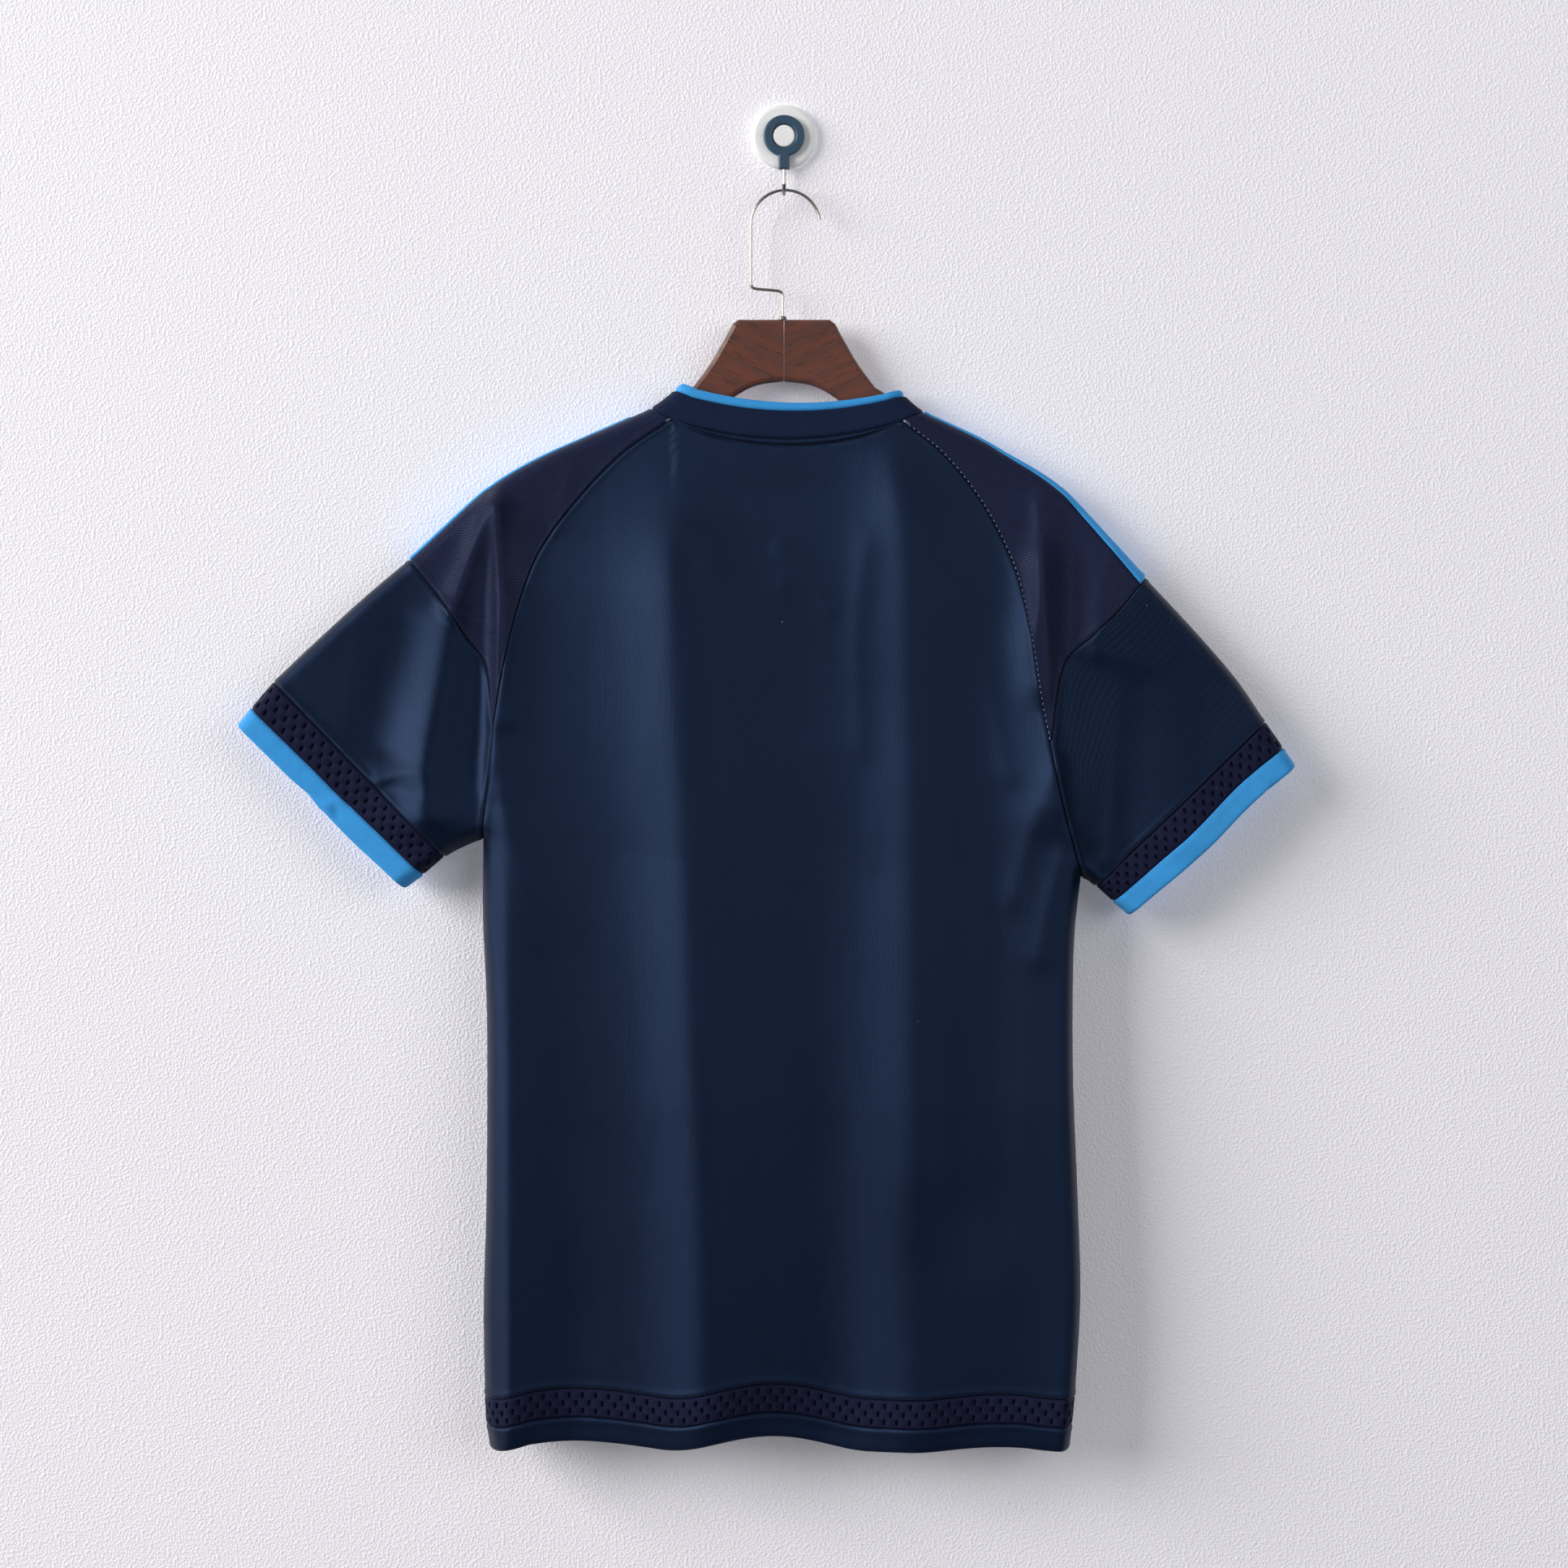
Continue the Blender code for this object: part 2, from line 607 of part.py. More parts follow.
def make_collar(cloth, lines):
    halves = {}
    for layer in (BACK, FRONT):
        seam = neck_line(lines, layer)
        top = neck_level(seam, COLLAR_TOP, COLLAR_DROP[layer])
        edge = neck_level(seam, TRIM_TOP, TRIM_DROP[layer])
        halves[layer] = (ruled(top, seam, even(COLLAR_STEPS)), ruled(edge, top, even(1)))
    bands = (
        ("collar", 0, "rib_navy", RIB_THICK, ("first_row", "last_row")),
        ("collar_trim", 1, "sky_blue", TRIM_THICK, ("last_row",)),
    )
    for name, which, finish, thick, seams in bands:
        back = surface(cloth, halves[BACK][which], BACK)
        front = surface(cloth, halves[FRONT][which][:, -2:0:-1], FRONT)
        points, facings = (np.concatenate(pair, axis=1) for pair in zip(back, front))
        points = tuck(points, facings, seams, closed=True)
        wall(name, points, facings, finish, thick=thick, closed=True)


def offset_line(line, distance, turn):
    run = np.gradient(line, axis=0)
    run /= np.linalg.norm(run, axis=1)[:, None]
    return line + np.reshape(distance, (-1, 1)) * turn * np.column_stack([-run[:, 1], run[:, 0]])


def hanger_outline(side):
    """One half of the wooden hanger: neck, the arm just under the shoulder line, its round tip, and the arch."""
    turn = 1 if side == LEFT else -1
    shoulder = smooth_line(SHOULDER_LINE[side][:5])
    held = 1 - (HANGER_TIP_BACK + HANGER_TIP / 2) / length_of(shoulder)
    shoulder = along(shoulder, np.linspace(0, held, HANGER_ARM_STEPS))
    top = offset_line(shoulder, HANGER_UNDER_CLOTH, turn)
    below = offset_line(top, np.linspace(HANGER_ARM, HANGER_TIP, len(top)), turn)
    middle = (top[-1] + below[-1]) / 2
    spoke = top[-1] - middle
    tip = []
    for angle in np.linspace(0, math.pi, HANGER_TIP_STEPS + 1)[1:-1]:
        c, s = math.cos(turn * angle), math.sin(turn * angle)
        tip.append(middle + np.array([c * spoke[0] - s * spoke[1], s * spoke[0] + c * spoke[1]]))
    mirror = np.array([-turn, 1])
    neck = smooth_line(np.array(HANGER_NECK[1:]) * mirror, per_span=3)
    arch = smooth_line(np.vstack([np.array(HANGER_ARCH) * mirror, below[2:3]]), per_span=4)
    centre = -turn * SEAM_GAP / 2
    start, end = np.array([centre, HANGER_NECK[0][1]]), np.array([centre, HANGER_ARCH[0][1]])
    shoulder_top = np.array(HANGER_NECK[0]) * mirror
    return np.vstack([[start, shoulder_top], neck, top, tip, below[:1:-1], arch[-2:0:-1], [end]])


def plate(name, outer, y_front, y_back, finish, inner=None, bevel=SMALL_BEVEL, keep=None):
    """A flat piece with this outline in the XZ plane, and its front and back rims bevelled. keep(x) rims stay sharp."""
    shape = bmesh.new()
    loops = [outer] if inner is None else [outer, inner]
    layers = []
    for y in (y_front, y_back):
        layers.append([[shape.verts.new((x / 1000, y / 1000, z / 1000)) for x, z in loop] for loop in loops])
    for front, back in zip(*layers):
        for k in range(len(front)):
            n = (k + 1) % len(front)
            shape.faces.new((front[k], front[n], back[n], back[k]))
    for caps in layers:
        if inner is None:
            shape.faces.new(caps[0])
            continue
        for k in range(len(outer)):
            n = (k + 1) % len(outer)
            shape.faces.new((caps[0][k], caps[0][n], caps[1][n], caps[1][k]))
    bmesh.ops.recalc_face_normals(shape, faces=shape.faces)
    rims = []
    for edge in shape.edges:
        a, b = edge.verts
        flat = abs(a.co.y - b.co.y) < 1e-7
        sharp = edge.calc_face_angle(0) > math.radians(60)
        if flat and sharp and not (keep and keep(a.co.x * 1000) and keep(b.co.x * 1000)):
            rims.append(edge)
    bmesh.ops.bevel(shape, geom=rims, offset=bevel / 1000, segments=2, profile=0.5, affect="EDGES")
    mesh = bpy.data.meshes.new(name)
    shape.to_mesh(mesh)
    shape.free()
    thing = bpy.data.objects.new(name, mesh)
    bpy.context.scene.collection.objects.link(thing)
    mesh.materials.append(material(finish))
    mesh.shade_smooth()
    mesh.set_sharp_from_angle(angle=math.radians(35))
    return thing


def wire(name, path, radius, finish):
    """A round wire along these points, with closed ends."""
    curve = bpy.data.curves.new(name, "CURVE")
    curve.dimensions = "3D"
    curve.bevel_depth = radius / 1000
    curve.bevel_resolution = 2
    curve.use_fill_caps = True
    spline = curve.splines.new("POLY")
    spline.points.add(len(path) - 1)
    for point, (x, y, z) in zip(spline.points, path):
        point.co = (x / 1000, y / 1000, z / 1000, 1)
    thing = bpy.data.objects.new(name, curve)
    bpy.context.scene.collection.objects.link(thing)
    curve.materials.append(material(finish))
    return thing


def filleted(corners, radius, steps=5):
    """A path through the corners, each rounded with an arc-like curve that starts this far from it."""
    corners = [np.array(corner, float) for corner in corners]
    path = [corners[0]]
    for before, corner, after in zip(corners, corners[1:], corners[2:]):
        start = corner + radius * (before - corner) / np.linalg.norm(before - corner)
        end = corner + radius * (after - corner) / np.linalg.norm(after - corner)
        for t in even(steps):
            path.append((1 - t) ** 2 * start + 2 * t * (1 - t) * corner + t**2 * end)
    return path + [corners[-1]]


def arc(centre, radius, start, end, steps):
    turns = np.radians(np.linspace(start, end, steps + 1))
    return [np.array([centre[0] + radius * math.cos(t), centre[1] + radius * math.sin(t)]) for t in turns]


def make_hanger():
    for side in (LEFT, RIGHT):
        plate(f"hanger_{side}", hanger_outline(side), HANGER_Y - HANGER_THICK / 2, HANGER_Y + HANGER_THICK / 2,
              "walnut", bevel=HANGER_BEVEL, keep=lambda x: abs(x) < SEAM_GAP)
    foot_x, foot_z = HOOK_STEM[0]
    ferrule = bmesh.new()
    bottom = HANGER_NECK[0][1] + SEAM_GAP
    bmesh.ops.create_cone(ferrule, cap_ends=True, segments=FERRULE_SIDES, radius1=FERRULE_R / 1000,
                          radius2=FERRULE_TOP_R / 1000, depth=FERRULE_HIGH / 1000)
    mesh = bpy.data.meshes.new("hanger_ferrule")
    ferrule.to_mesh(mesh)
    ferrule.free()
    thing = bpy.data.objects.new("hanger_ferrule", mesh)
    thing.location = (foot_x / 1000, HANGER_Y / 1000, (bottom + FERRULE_HIGH / 2) / 1000)
    bpy.context.scene.collection.objects.link(thing)
    mesh.materials.append(material("steel"))
    stem = filleted(HOOK_STEM, HOOK_CORNER_R)
    bend = arc(HOOK_BEND, HOOK_BEND_R, 180, HOOK_END_ANGLE, HOOK_BEND_STEPS)
    wire("hanger_hook", [(x, HANGER_Y, z) for x, z in stem[:-1] + bend], WIRE_R, "steel")


def make_wall_hook():
    disc = arc((0, 0), PLATE_R, 0, 360, DISC_SIDES)[:-1]
    plate("hook_plate", disc, -PLATE_THICK, 0, "white_plastic", bevel=PLATE_BEVEL)
    ring_back = -PLATE_THICK - SEAM_GAP
    inner = arc((0, 0), RING_IN_R, -90, 270, DISC_SIDES)[:-1]
    outer = arc((0, 0), RING_R, -90, 270, DISC_SIDES)[:-1]
    root = -math.sqrt(RING_R**2 - TAB_HALF**2)
    outer[0] = np.array([0, TAB_END_Z])
    outer[1], outer[-1] = np.array([TAB_HALF, TAB_END_Z]), np.array([-TAB_HALF, TAB_END_Z])
    outer[2], outer[-2] = np.array([TAB_HALF, root]), np.array([-TAB_HALF, root])
    plate("hook_ring", outer, ring_back - RING_THICK, ring_back, "teal_plastic", inner=inner)
    button = arc((0, 0), BUTTON_R, 0, 360, DISC_SIDES)[:-1]
    plate("hook_button", button, ring_back - BUTTON_THICK, ring_back, "white_plastic")
    bend_z = HOOK_BEND[1] + HOOK_BEND_R - WIRE_R - PEG_R - SEAM_GAP + PEG_BEND_R
    start = (PEG_Y, TAB_END_Z - SEAM_GAP)
    bend = arc((PEG_Y - PEG_BEND_R, bend_z), PEG_BEND_R, 0, -PEG_END_ANGLE, PEG_STEPS)
    wire("hook_peg", [(0, y, z) for y, z in [start] + bend], PEG_R, "steel")


def main():
    clear_scene()
    lines = {side: side_lines(side) for side in (LEFT, RIGHT)}
    cloth = Cloth(Outline(lines))
    make_panels(cloth, lines)
    for side in (LEFT, RIGHT):
        make_shoulders(cloth, lines, side)
        make_sleeve(cloth, lines, side)
    make_hem(cloth, lines)
    make_collar(cloth, lines)
    make_hanger()
    make_wall_hook()


main()
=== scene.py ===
# %% [markdown]
# # A football jersey on its hanger
# The jersey hangs on a wooden hanger from a round hook that is stuck to a wall, with its back to
# the room. The CAD model settles where every piece is, so this file only dresses it: it builds
# thin, finely meshed cloth on the form of each CAD cloth solid, sews it, and gives every surface a
# procedural finish. Loading the frame first means that each piece can be placed in the CAD model's
# own coordinates.

# %% Load the CAD frame
import math

import bmesh
import bpy
import numpy as np
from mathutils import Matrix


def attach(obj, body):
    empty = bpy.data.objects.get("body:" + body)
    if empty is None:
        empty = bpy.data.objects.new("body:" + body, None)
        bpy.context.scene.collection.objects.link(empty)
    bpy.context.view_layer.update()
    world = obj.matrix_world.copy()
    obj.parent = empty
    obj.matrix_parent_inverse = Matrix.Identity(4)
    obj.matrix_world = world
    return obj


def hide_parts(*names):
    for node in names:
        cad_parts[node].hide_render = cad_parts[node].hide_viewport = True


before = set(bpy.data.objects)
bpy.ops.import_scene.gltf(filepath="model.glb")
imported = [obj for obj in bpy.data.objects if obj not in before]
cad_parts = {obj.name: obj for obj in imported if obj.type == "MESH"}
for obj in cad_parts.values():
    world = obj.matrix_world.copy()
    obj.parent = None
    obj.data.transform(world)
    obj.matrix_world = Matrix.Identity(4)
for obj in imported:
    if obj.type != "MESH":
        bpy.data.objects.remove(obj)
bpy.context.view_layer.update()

# %% [markdown]
# A product picture of a hanging garment is taken straight on, from a few metres away, so that the
# shirt isn't stretched by perspective. A long lens is set from the width that the frame has to span
# at the garment: lens length is to sensor width as distance is to the width seen.

# %% Camera
GARMENT_Y = -0.045
VIEW_WIDTH = 1.1206
CAMERA_DISTANCE = 2.5
CAMERA_HEIGHT = -0.470

camera_data = bpy.data.cameras.new("camera")
camera_data.lens = camera_data.sensor_width * CAMERA_DISTANCE / VIEW_WIDTH
camera = bpy.data.objects.new("camera", camera_data)
camera.location = (0, GARMENT_Y - CAMERA_DISTANCE, CAMERA_HEIGHT)
camera.rotation_euler = (math.radians(90), 0, 0)
bpy.context.scene.collection.objects.link(camera)
bpy.context.scene.camera = camera
print(f"lens {camera_data.lens:.0f} mm")

# %% [markdown]
# Dark satin shows its folds by what it reflects, so most of the light comes from one broad soft box
# at the upper left, and weak ones at the right and above keep the shaded flanks from going black.
# Two more stand behind the wall for whoever walks round the object. Area lights are used, because
# their size sets how soft a shadow is.

# %% Lights
def soft_box(name, place, aim, width, height, power, colour=(1, 1, 1)):
    lamp = bpy.data.lights.new(name, "AREA")
    lamp.shape = "RECTANGLE"
    lamp.size = width
    lamp.size_y = height
    lamp.energy = power
    lamp.color = colour
    holder = bpy.data.objects.new(name, lamp)
    holder.location = place
    direction = np.array(aim, float) - np.array(place, float)
    yaw = math.atan2(direction[0], direction[1])
    pitch = math.atan2(direction[2], math.hypot(direction[0], direction[1]))
    holder.rotation_euler = (math.radians(90) + pitch, 0, -yaw)
    bpy.context.scene.collection.objects.link(holder)
    return holder


GARMENT_MIDDLE = (0, GARMENT_Y, -0.5)
soft_box("key_light", (-4.7, -3.05, 1.2), GARMENT_MIDDLE, 4.0, 3.2, 366, (1.0, 0.985, 0.97))
soft_box("fill_light", (2.4, -3.4, 0.2), GARMENT_MIDDLE, 3.0, 2.0, 42, (0.97, 0.98, 1.0))
soft_box("top_light", (0.2, -2.4, 1.9), GARMENT_MIDDLE, 1.8, 1.2, 5)
soft_box("back_light_left", (-2.0, 2.4, 0.9), GARMENT_MIDDLE, 1.6, 1.6, 70)
soft_box("back_light_right", (2.4, 2.0, 0.3), GARMENT_MIDDLE, 1.6, 1.6, 40)

world = bpy.data.worlds.new("studio")
bpy.context.scene.world = world
world.use_nodes = True
background = world.node_tree.nodes["Background"]
background.inputs["Color"].default_value = (0.86, 0.85, 0.88, 1)
looked_at = world.node_tree.nodes.new("ShaderNodeLightPath").outputs["Is Camera Ray"]
WORLD_LIGHT, WORLD_SEEN = 0.13, 0.85
strength = world.node_tree.nodes.new("ShaderNodeMapRange")
strength.inputs["To Min"].default_value = WORLD_LIGHT
strength.inputs["To Max"].default_value = WORLD_SEEN
world.node_tree.links.new(looked_at, strength.inputs["Value"])
world.node_tree.links.new(strength.outputs["Result"], background.inputs["Strength"])
bpy.context.scene.view_settings.view_transform = "Standard"

# %% [markdown]
# Materials are node graphs, and the same few moves come back in all of them. A small helper keeps
# them short: it adds a node, sets its inputs by name or number, and links whatever is given as a
# socket. The others build on it, one for each node that is used often.

# %% Node helpers
def fill_inputs(tree, node, inputs):
    """Links each input that is given as a socket, and sets the others to their values."""
    for key, value in inputs.items():
        if isinstance(value, bpy.types.NodeSocket):
            tree.links.new(value, node.inputs[key])
        else:
            node.inputs[key].default_value = value


def add_node(tree, kind, inputs=None, **settings):
    node = tree.nodes.new(kind)
    for key, value in settings.items():
        setattr(node, key, value)
    fill_inputs(tree, node, inputs or {})
    return node


def noise(tree, place, scale, detail=2.0, **more):
    inputs = {"Vector": place, "Scale": scale, "Detail": detail, **more}
    return add_node(tree, "ShaderNodeTexNoise", inputs).outputs["Fac"]


def bump(tree, height, distance, **more):
    return add_node(tree, "ShaderNodeBump", {"Height": height, "Distance": distance, **more}).outputs[0]


def math_node(tree, operation, first, second=0.0, third=0.0):
    inputs = {0: first, 1: second, 2: third}
    return add_node(tree, "ShaderNodeMath", inputs, operation=operation).outputs[0]


def vector_math(tree, operation, first, second):
    return add_node(tree, "ShaderNodeVectorMath", {0: first, 1: second}, operation=operation).outputs[0]


def mix_colour(tree, share, first, second):
    inputs = {0: share, 6: first, 7: second}
    return add_node(tree, "ShaderNodeMix", inputs, data_type="RGBA").outputs[2]


def scaled(tree, value, low, high):
    """The value, which runs from 0 to 1, carried over to low to high."""
    inputs = {"Value": value, "To Min": low, "To Max": high}
    return add_node(tree, "ShaderNodeMapRange", inputs).outputs["Result"]


def between(tree, value, low, high, at_low=0.0, at_high=1.0):
    """Goes from at_low to at_high while the value goes from low to high, and stays there outside that."""
    inputs = {"Value": value, "From Min": low, "From Max": high, "To Min": at_low, "To Max": at_high}
    return add_node(tree, "ShaderNodeMapRange", inputs).outputs["Result"]

# %% [markdown]
# An effect that several materials share is built once as a node group with named inputs and
# outputs, and each material places it with values of its own. A group puts out only colours, masks,
# heights and normals. The shader stays in the material, so that its gloss can be set there for each
# cloth and each metal.

# %% Groups and materials
def new_group(name, inputs, outputs):
    """An empty node group with these sockets: {name: (kind, default)} in and {name: kind} out."""
    group = bpy.data.node_groups.new(name, "ShaderNodeTree")
    for socket, (kind, default) in inputs.items():
        made = group.interface.new_socket(socket, in_out="INPUT", socket_type=f"NodeSocket{kind}")
        if default is not None:
            made.default_value = default
    for socket, kind in outputs.items():
        group.interface.new_socket(socket, in_out="OUTPUT", socket_type=f"NodeSocket{kind}")
    return group, group.nodes.new("NodeGroupInput").outputs, group.nodes.new("NodeGroupOutput").inputs


def use_group(tree, group, inputs):
    """Places a group in a material with its own values, and returns its outputs."""
    return add_node(tree, "ShaderNodeGroup", inputs, node_tree=group).outputs


def new_material(name):
    """A material, its node tree, its Principled shader and its texture coordinates."""
    finish = bpy.data.materials.new(name)
    finish.use_nodes = True
    tree = finish.node_tree
    coordinates = tree.nodes.new("ShaderNodeTexCoord")
    return finish, tree, tree.nodes["Principled BSDF"], coordinates.outputs

# %% [markdown]
# The jersey is one flattened tube of cloth with three branches, the body and two sleeves. Its
# folded edges are drawn in the XZ plane, in millimetres from the middle of the wall hook. These are
# the lines of the CAD model, so the dressed cloth lies on its solids. Seams and edges are short
# lists of points, which a smooth curve joins later.

# %% Edges and seams
BACK, FRONT = -1, 1
LEFT, RIGHT = "left", "right"
SIDES = (LEFT, RIGHT)

SHOULDER_LINE = {
    LEFT: ((-96, -199), (-144, -220), (-171, -232), (-194, -244), (-211, -255), (-226, -267), (-270, -308)),
    RIGHT: ((101, -202), (140, -220), (161, -232), (182, -244), (198, -255), (212, -268), (260, -321)),
}
SLEEVE_TOP = {
    LEFT: ((-270, -308), (-303, -336), (-341, -371), (-367, -396)),
    RIGHT: ((260, -321), (296, -360), (325, -394), (346, -425)),
}
SLEEVE_UNDER = {
    LEFT: ((-216, -509), (-230, -515), (-244, -522)),
    RIGHT: ((213, -536), (218, -539), (224, -543)),
}
RAGLAN_SEAM = {
    LEFT: ((-81, -208), (-118, -234), (-152, -270), (-177, -306), (-191, -345), (-201, -389), (-208, -429)),
    RIGHT: ((85, -209), (115, -233), (144, -270), (166, -316), (177, -365), (183, -405), (190, -441)),
}
SLEEVE_SEAM = {
    LEFT: ((-270, -308), (-244, -340), (-227, -365), (-213, -386), (-208, -429)),
    RIGHT: ((260, -321), (242, -344), (222, -363), (200, -386), (190, -441)),
}
UNDERARM_SEAM = {
    LEFT: ((-208, -429), (-211, -464), (-216, -509)),
    RIGHT: ((190, -441), (199, -485), (213, -536)),
}
SIDE_SEAM = {
    LEFT: ((-216, -509), (-216, -568), (-213, -640), (-213, -760), (-215, -840), (-214, -906)),
    RIGHT: ((213, -536), (208, -586), (207, -673), (210, -760), (212, -835), (208, -906)),
}
HEM_MESH_END = {LEFT: (-213, -926), RIGHT: (206, -926)}
HEM_END = {LEFT: (-210, -943), RIGHT: (204, -943)}
SLEEVE_MESH_END = {LEFT: ((-383, -415), (-259, -535)), RIGHT: ((359, -444), (236, -554))}
CUFF_END = {LEFT: ((-393, -427), (-272, -545)), RIGHT: ((368, -457), (247, -564))}
COLLAR_TOP = {LEFT: (-79, -186), RIGHT: (87, -190)}
TRIM_TOP = {LEFT: (-74, -181), RIGHT: (84, -186)}
NECK_DROP = {BACK: 13.0, FRONT: 80.0}
COLLAR_DROP = {BACK: 14.0, FRONT: 78.0}
TRIM_DROP = {BACK: 12.5, FRONT: 76.0}

# Height, distance of the tube's middle plane from the wall, and half its depth there
SECTIONS = (
    # z,    y_mid, half_depth
    (-180, -18.0, 14.0),
    (-260, -19.0, 14.0),
    (-330, -23.0, 15.0),
    (-500, -31.0, 17.0),
    (-700, -37.0, 20.0),
    (-950, -41.0, 22.0),
)
EDGE_ROUND = 10.0
drawn = (SHOULDER_LINE, SLEEVE_TOP, SLEEVE_UNDER, RAGLAN_SEAM, SLEEVE_SEAM, UNDERARM_SEAM, SIDE_SEAM)
print("points drawn by hand:", sum(len(line) for table in drawn for line in table.values()))

# %% [markdown]
# A Catmull-Rom curve passes through all its points, so a seam stays where it was drawn. Points are
# then read off it at equal shares of its length. A drawn line is a NumPy array, and every later step
# works on whole arrays, because a shirt has some hundred thousand points and Python loops over them
# would be slow.

# %% Smooth lines
def smooth_line(corners, per_span=8):
    points = np.array(corners, float)
    if len(points) == 2:
        return points
    ends = np.vstack([2 * points[0] - points[1], points, 2 * points[-1] - points[-2]])
    t = (np.arange(per_span) / per_span)[:, None]
    spans = []
    for before, start, end, after in zip(ends, ends[1:], ends[2:], ends[3:]):
        bend = 2 * before - 5 * start + 4 * end - after
        turn = start * 3 - before - 3 * end + after
        spans.append(0.5 * (2 * start + (end - before) * t + bend * t**2 + turn * t**3))
    return np.vstack(spans + [points[-1:]])


def reached(line):
    """How far along the line each of its points lies."""
    return np.concatenate([[0], np.cumsum(np.linalg.norm(np.diff(line, axis=0), axis=1))])


def read_off(values, distances, at):
    """Rows of values that are known at these distances, read off at other distances."""
    return np.column_stack([np.interp(at, distances, column) for column in values.T])


def along(line, shares):
    distances = reached(line)
    return read_off(line, distances, np.asarray(shares) * distances[-1])


def seam(table, side, shares):
    return along(smooth_line(table[side]), shares)


def length_of(table, side):
    return reached(smooth_line(table[side]))[-1]


print("left shoulder line, mm:", round(length_of(SHOULDER_LINE, LEFT)))

# %% [markdown]
# Near a folded edge the two layers of the tube round over to meet each other. For that, each point
# of the cloth has to know how far it is from the nearest folded edge and which way that edge lies.
# Both come from the short straight runs of the edges. Right on an edge the direction is taken from
# the runs that meet there.

# %% Distance to the folded edges
ON_EDGE = 0.2


def folded_edges(side):
    ends = [np.array(table[side], float) for table in (SLEEVE_MESH_END, CUFF_END)]
    top = [TRIM_TOP[side], COLLAR_TOP[side], *smooth_line(SHOULDER_LINE[side])]
    top += [*smooth_line(SLEEVE_TOP[side])[1:], *(end[0] for end in ends)]
    under = [*(end[1] for end in ends[::-1]), *smooth_line(SLEEVE_UNDER[side])[::-1]]
    under += [*smooth_line(SIDE_SEAM[side])[1:], HEM_MESH_END[side], HEM_END[side]]
    return np.array(top, float), np.array(under, float)


def edge_runs():
    runs = []
    for side, turn in ((LEFT, 1), (RIGHT, -1)):
        for edge in folded_edges(side):
            run = np.diff(edge, axis=0)
            across = turn * np.column_stack([-run[:, 1], run[:, 0]]) / np.linalg.norm(run, axis=1)[:, None]
            mitres = np.vstack([across[:1], across[:-1] + across[1:], across[-1:]])
            runs += list(zip(edge[:-1], run, mitres[:-1], mitres[1:]))
    return runs


EDGE_RUNS = edge_runs()


def nearest_edge(plan):
    """Distance of each plan point to the nearest folded edge, and the direction away from it."""
    gap = np.full(len(plan), np.inf)
    away = np.zeros_like(plan)
    for start, run, mitre_start, mitre_end in EDGE_RUNS:
        share = np.clip((plan - start) @ run / (run @ run), 0, 1)[:, None]
        off = plan - (start + share * run)
        distance = np.hypot(off[:, 0], off[:, 1])
        closer = distance < gap
        gap[closer] = distance[closer]
        mitre = mitre_start + share * (mitre_end - mitre_start)
        off = np.where(distance[:, None] > ON_EDGE, off, mitre)
        away[closer] = (off / np.linalg.norm(off, axis=1)[:, None])[closer]
    return np.where(gap > ON_EDGE, gap, 0), away


print("runs of folded edge:", len(EDGE_RUNS))
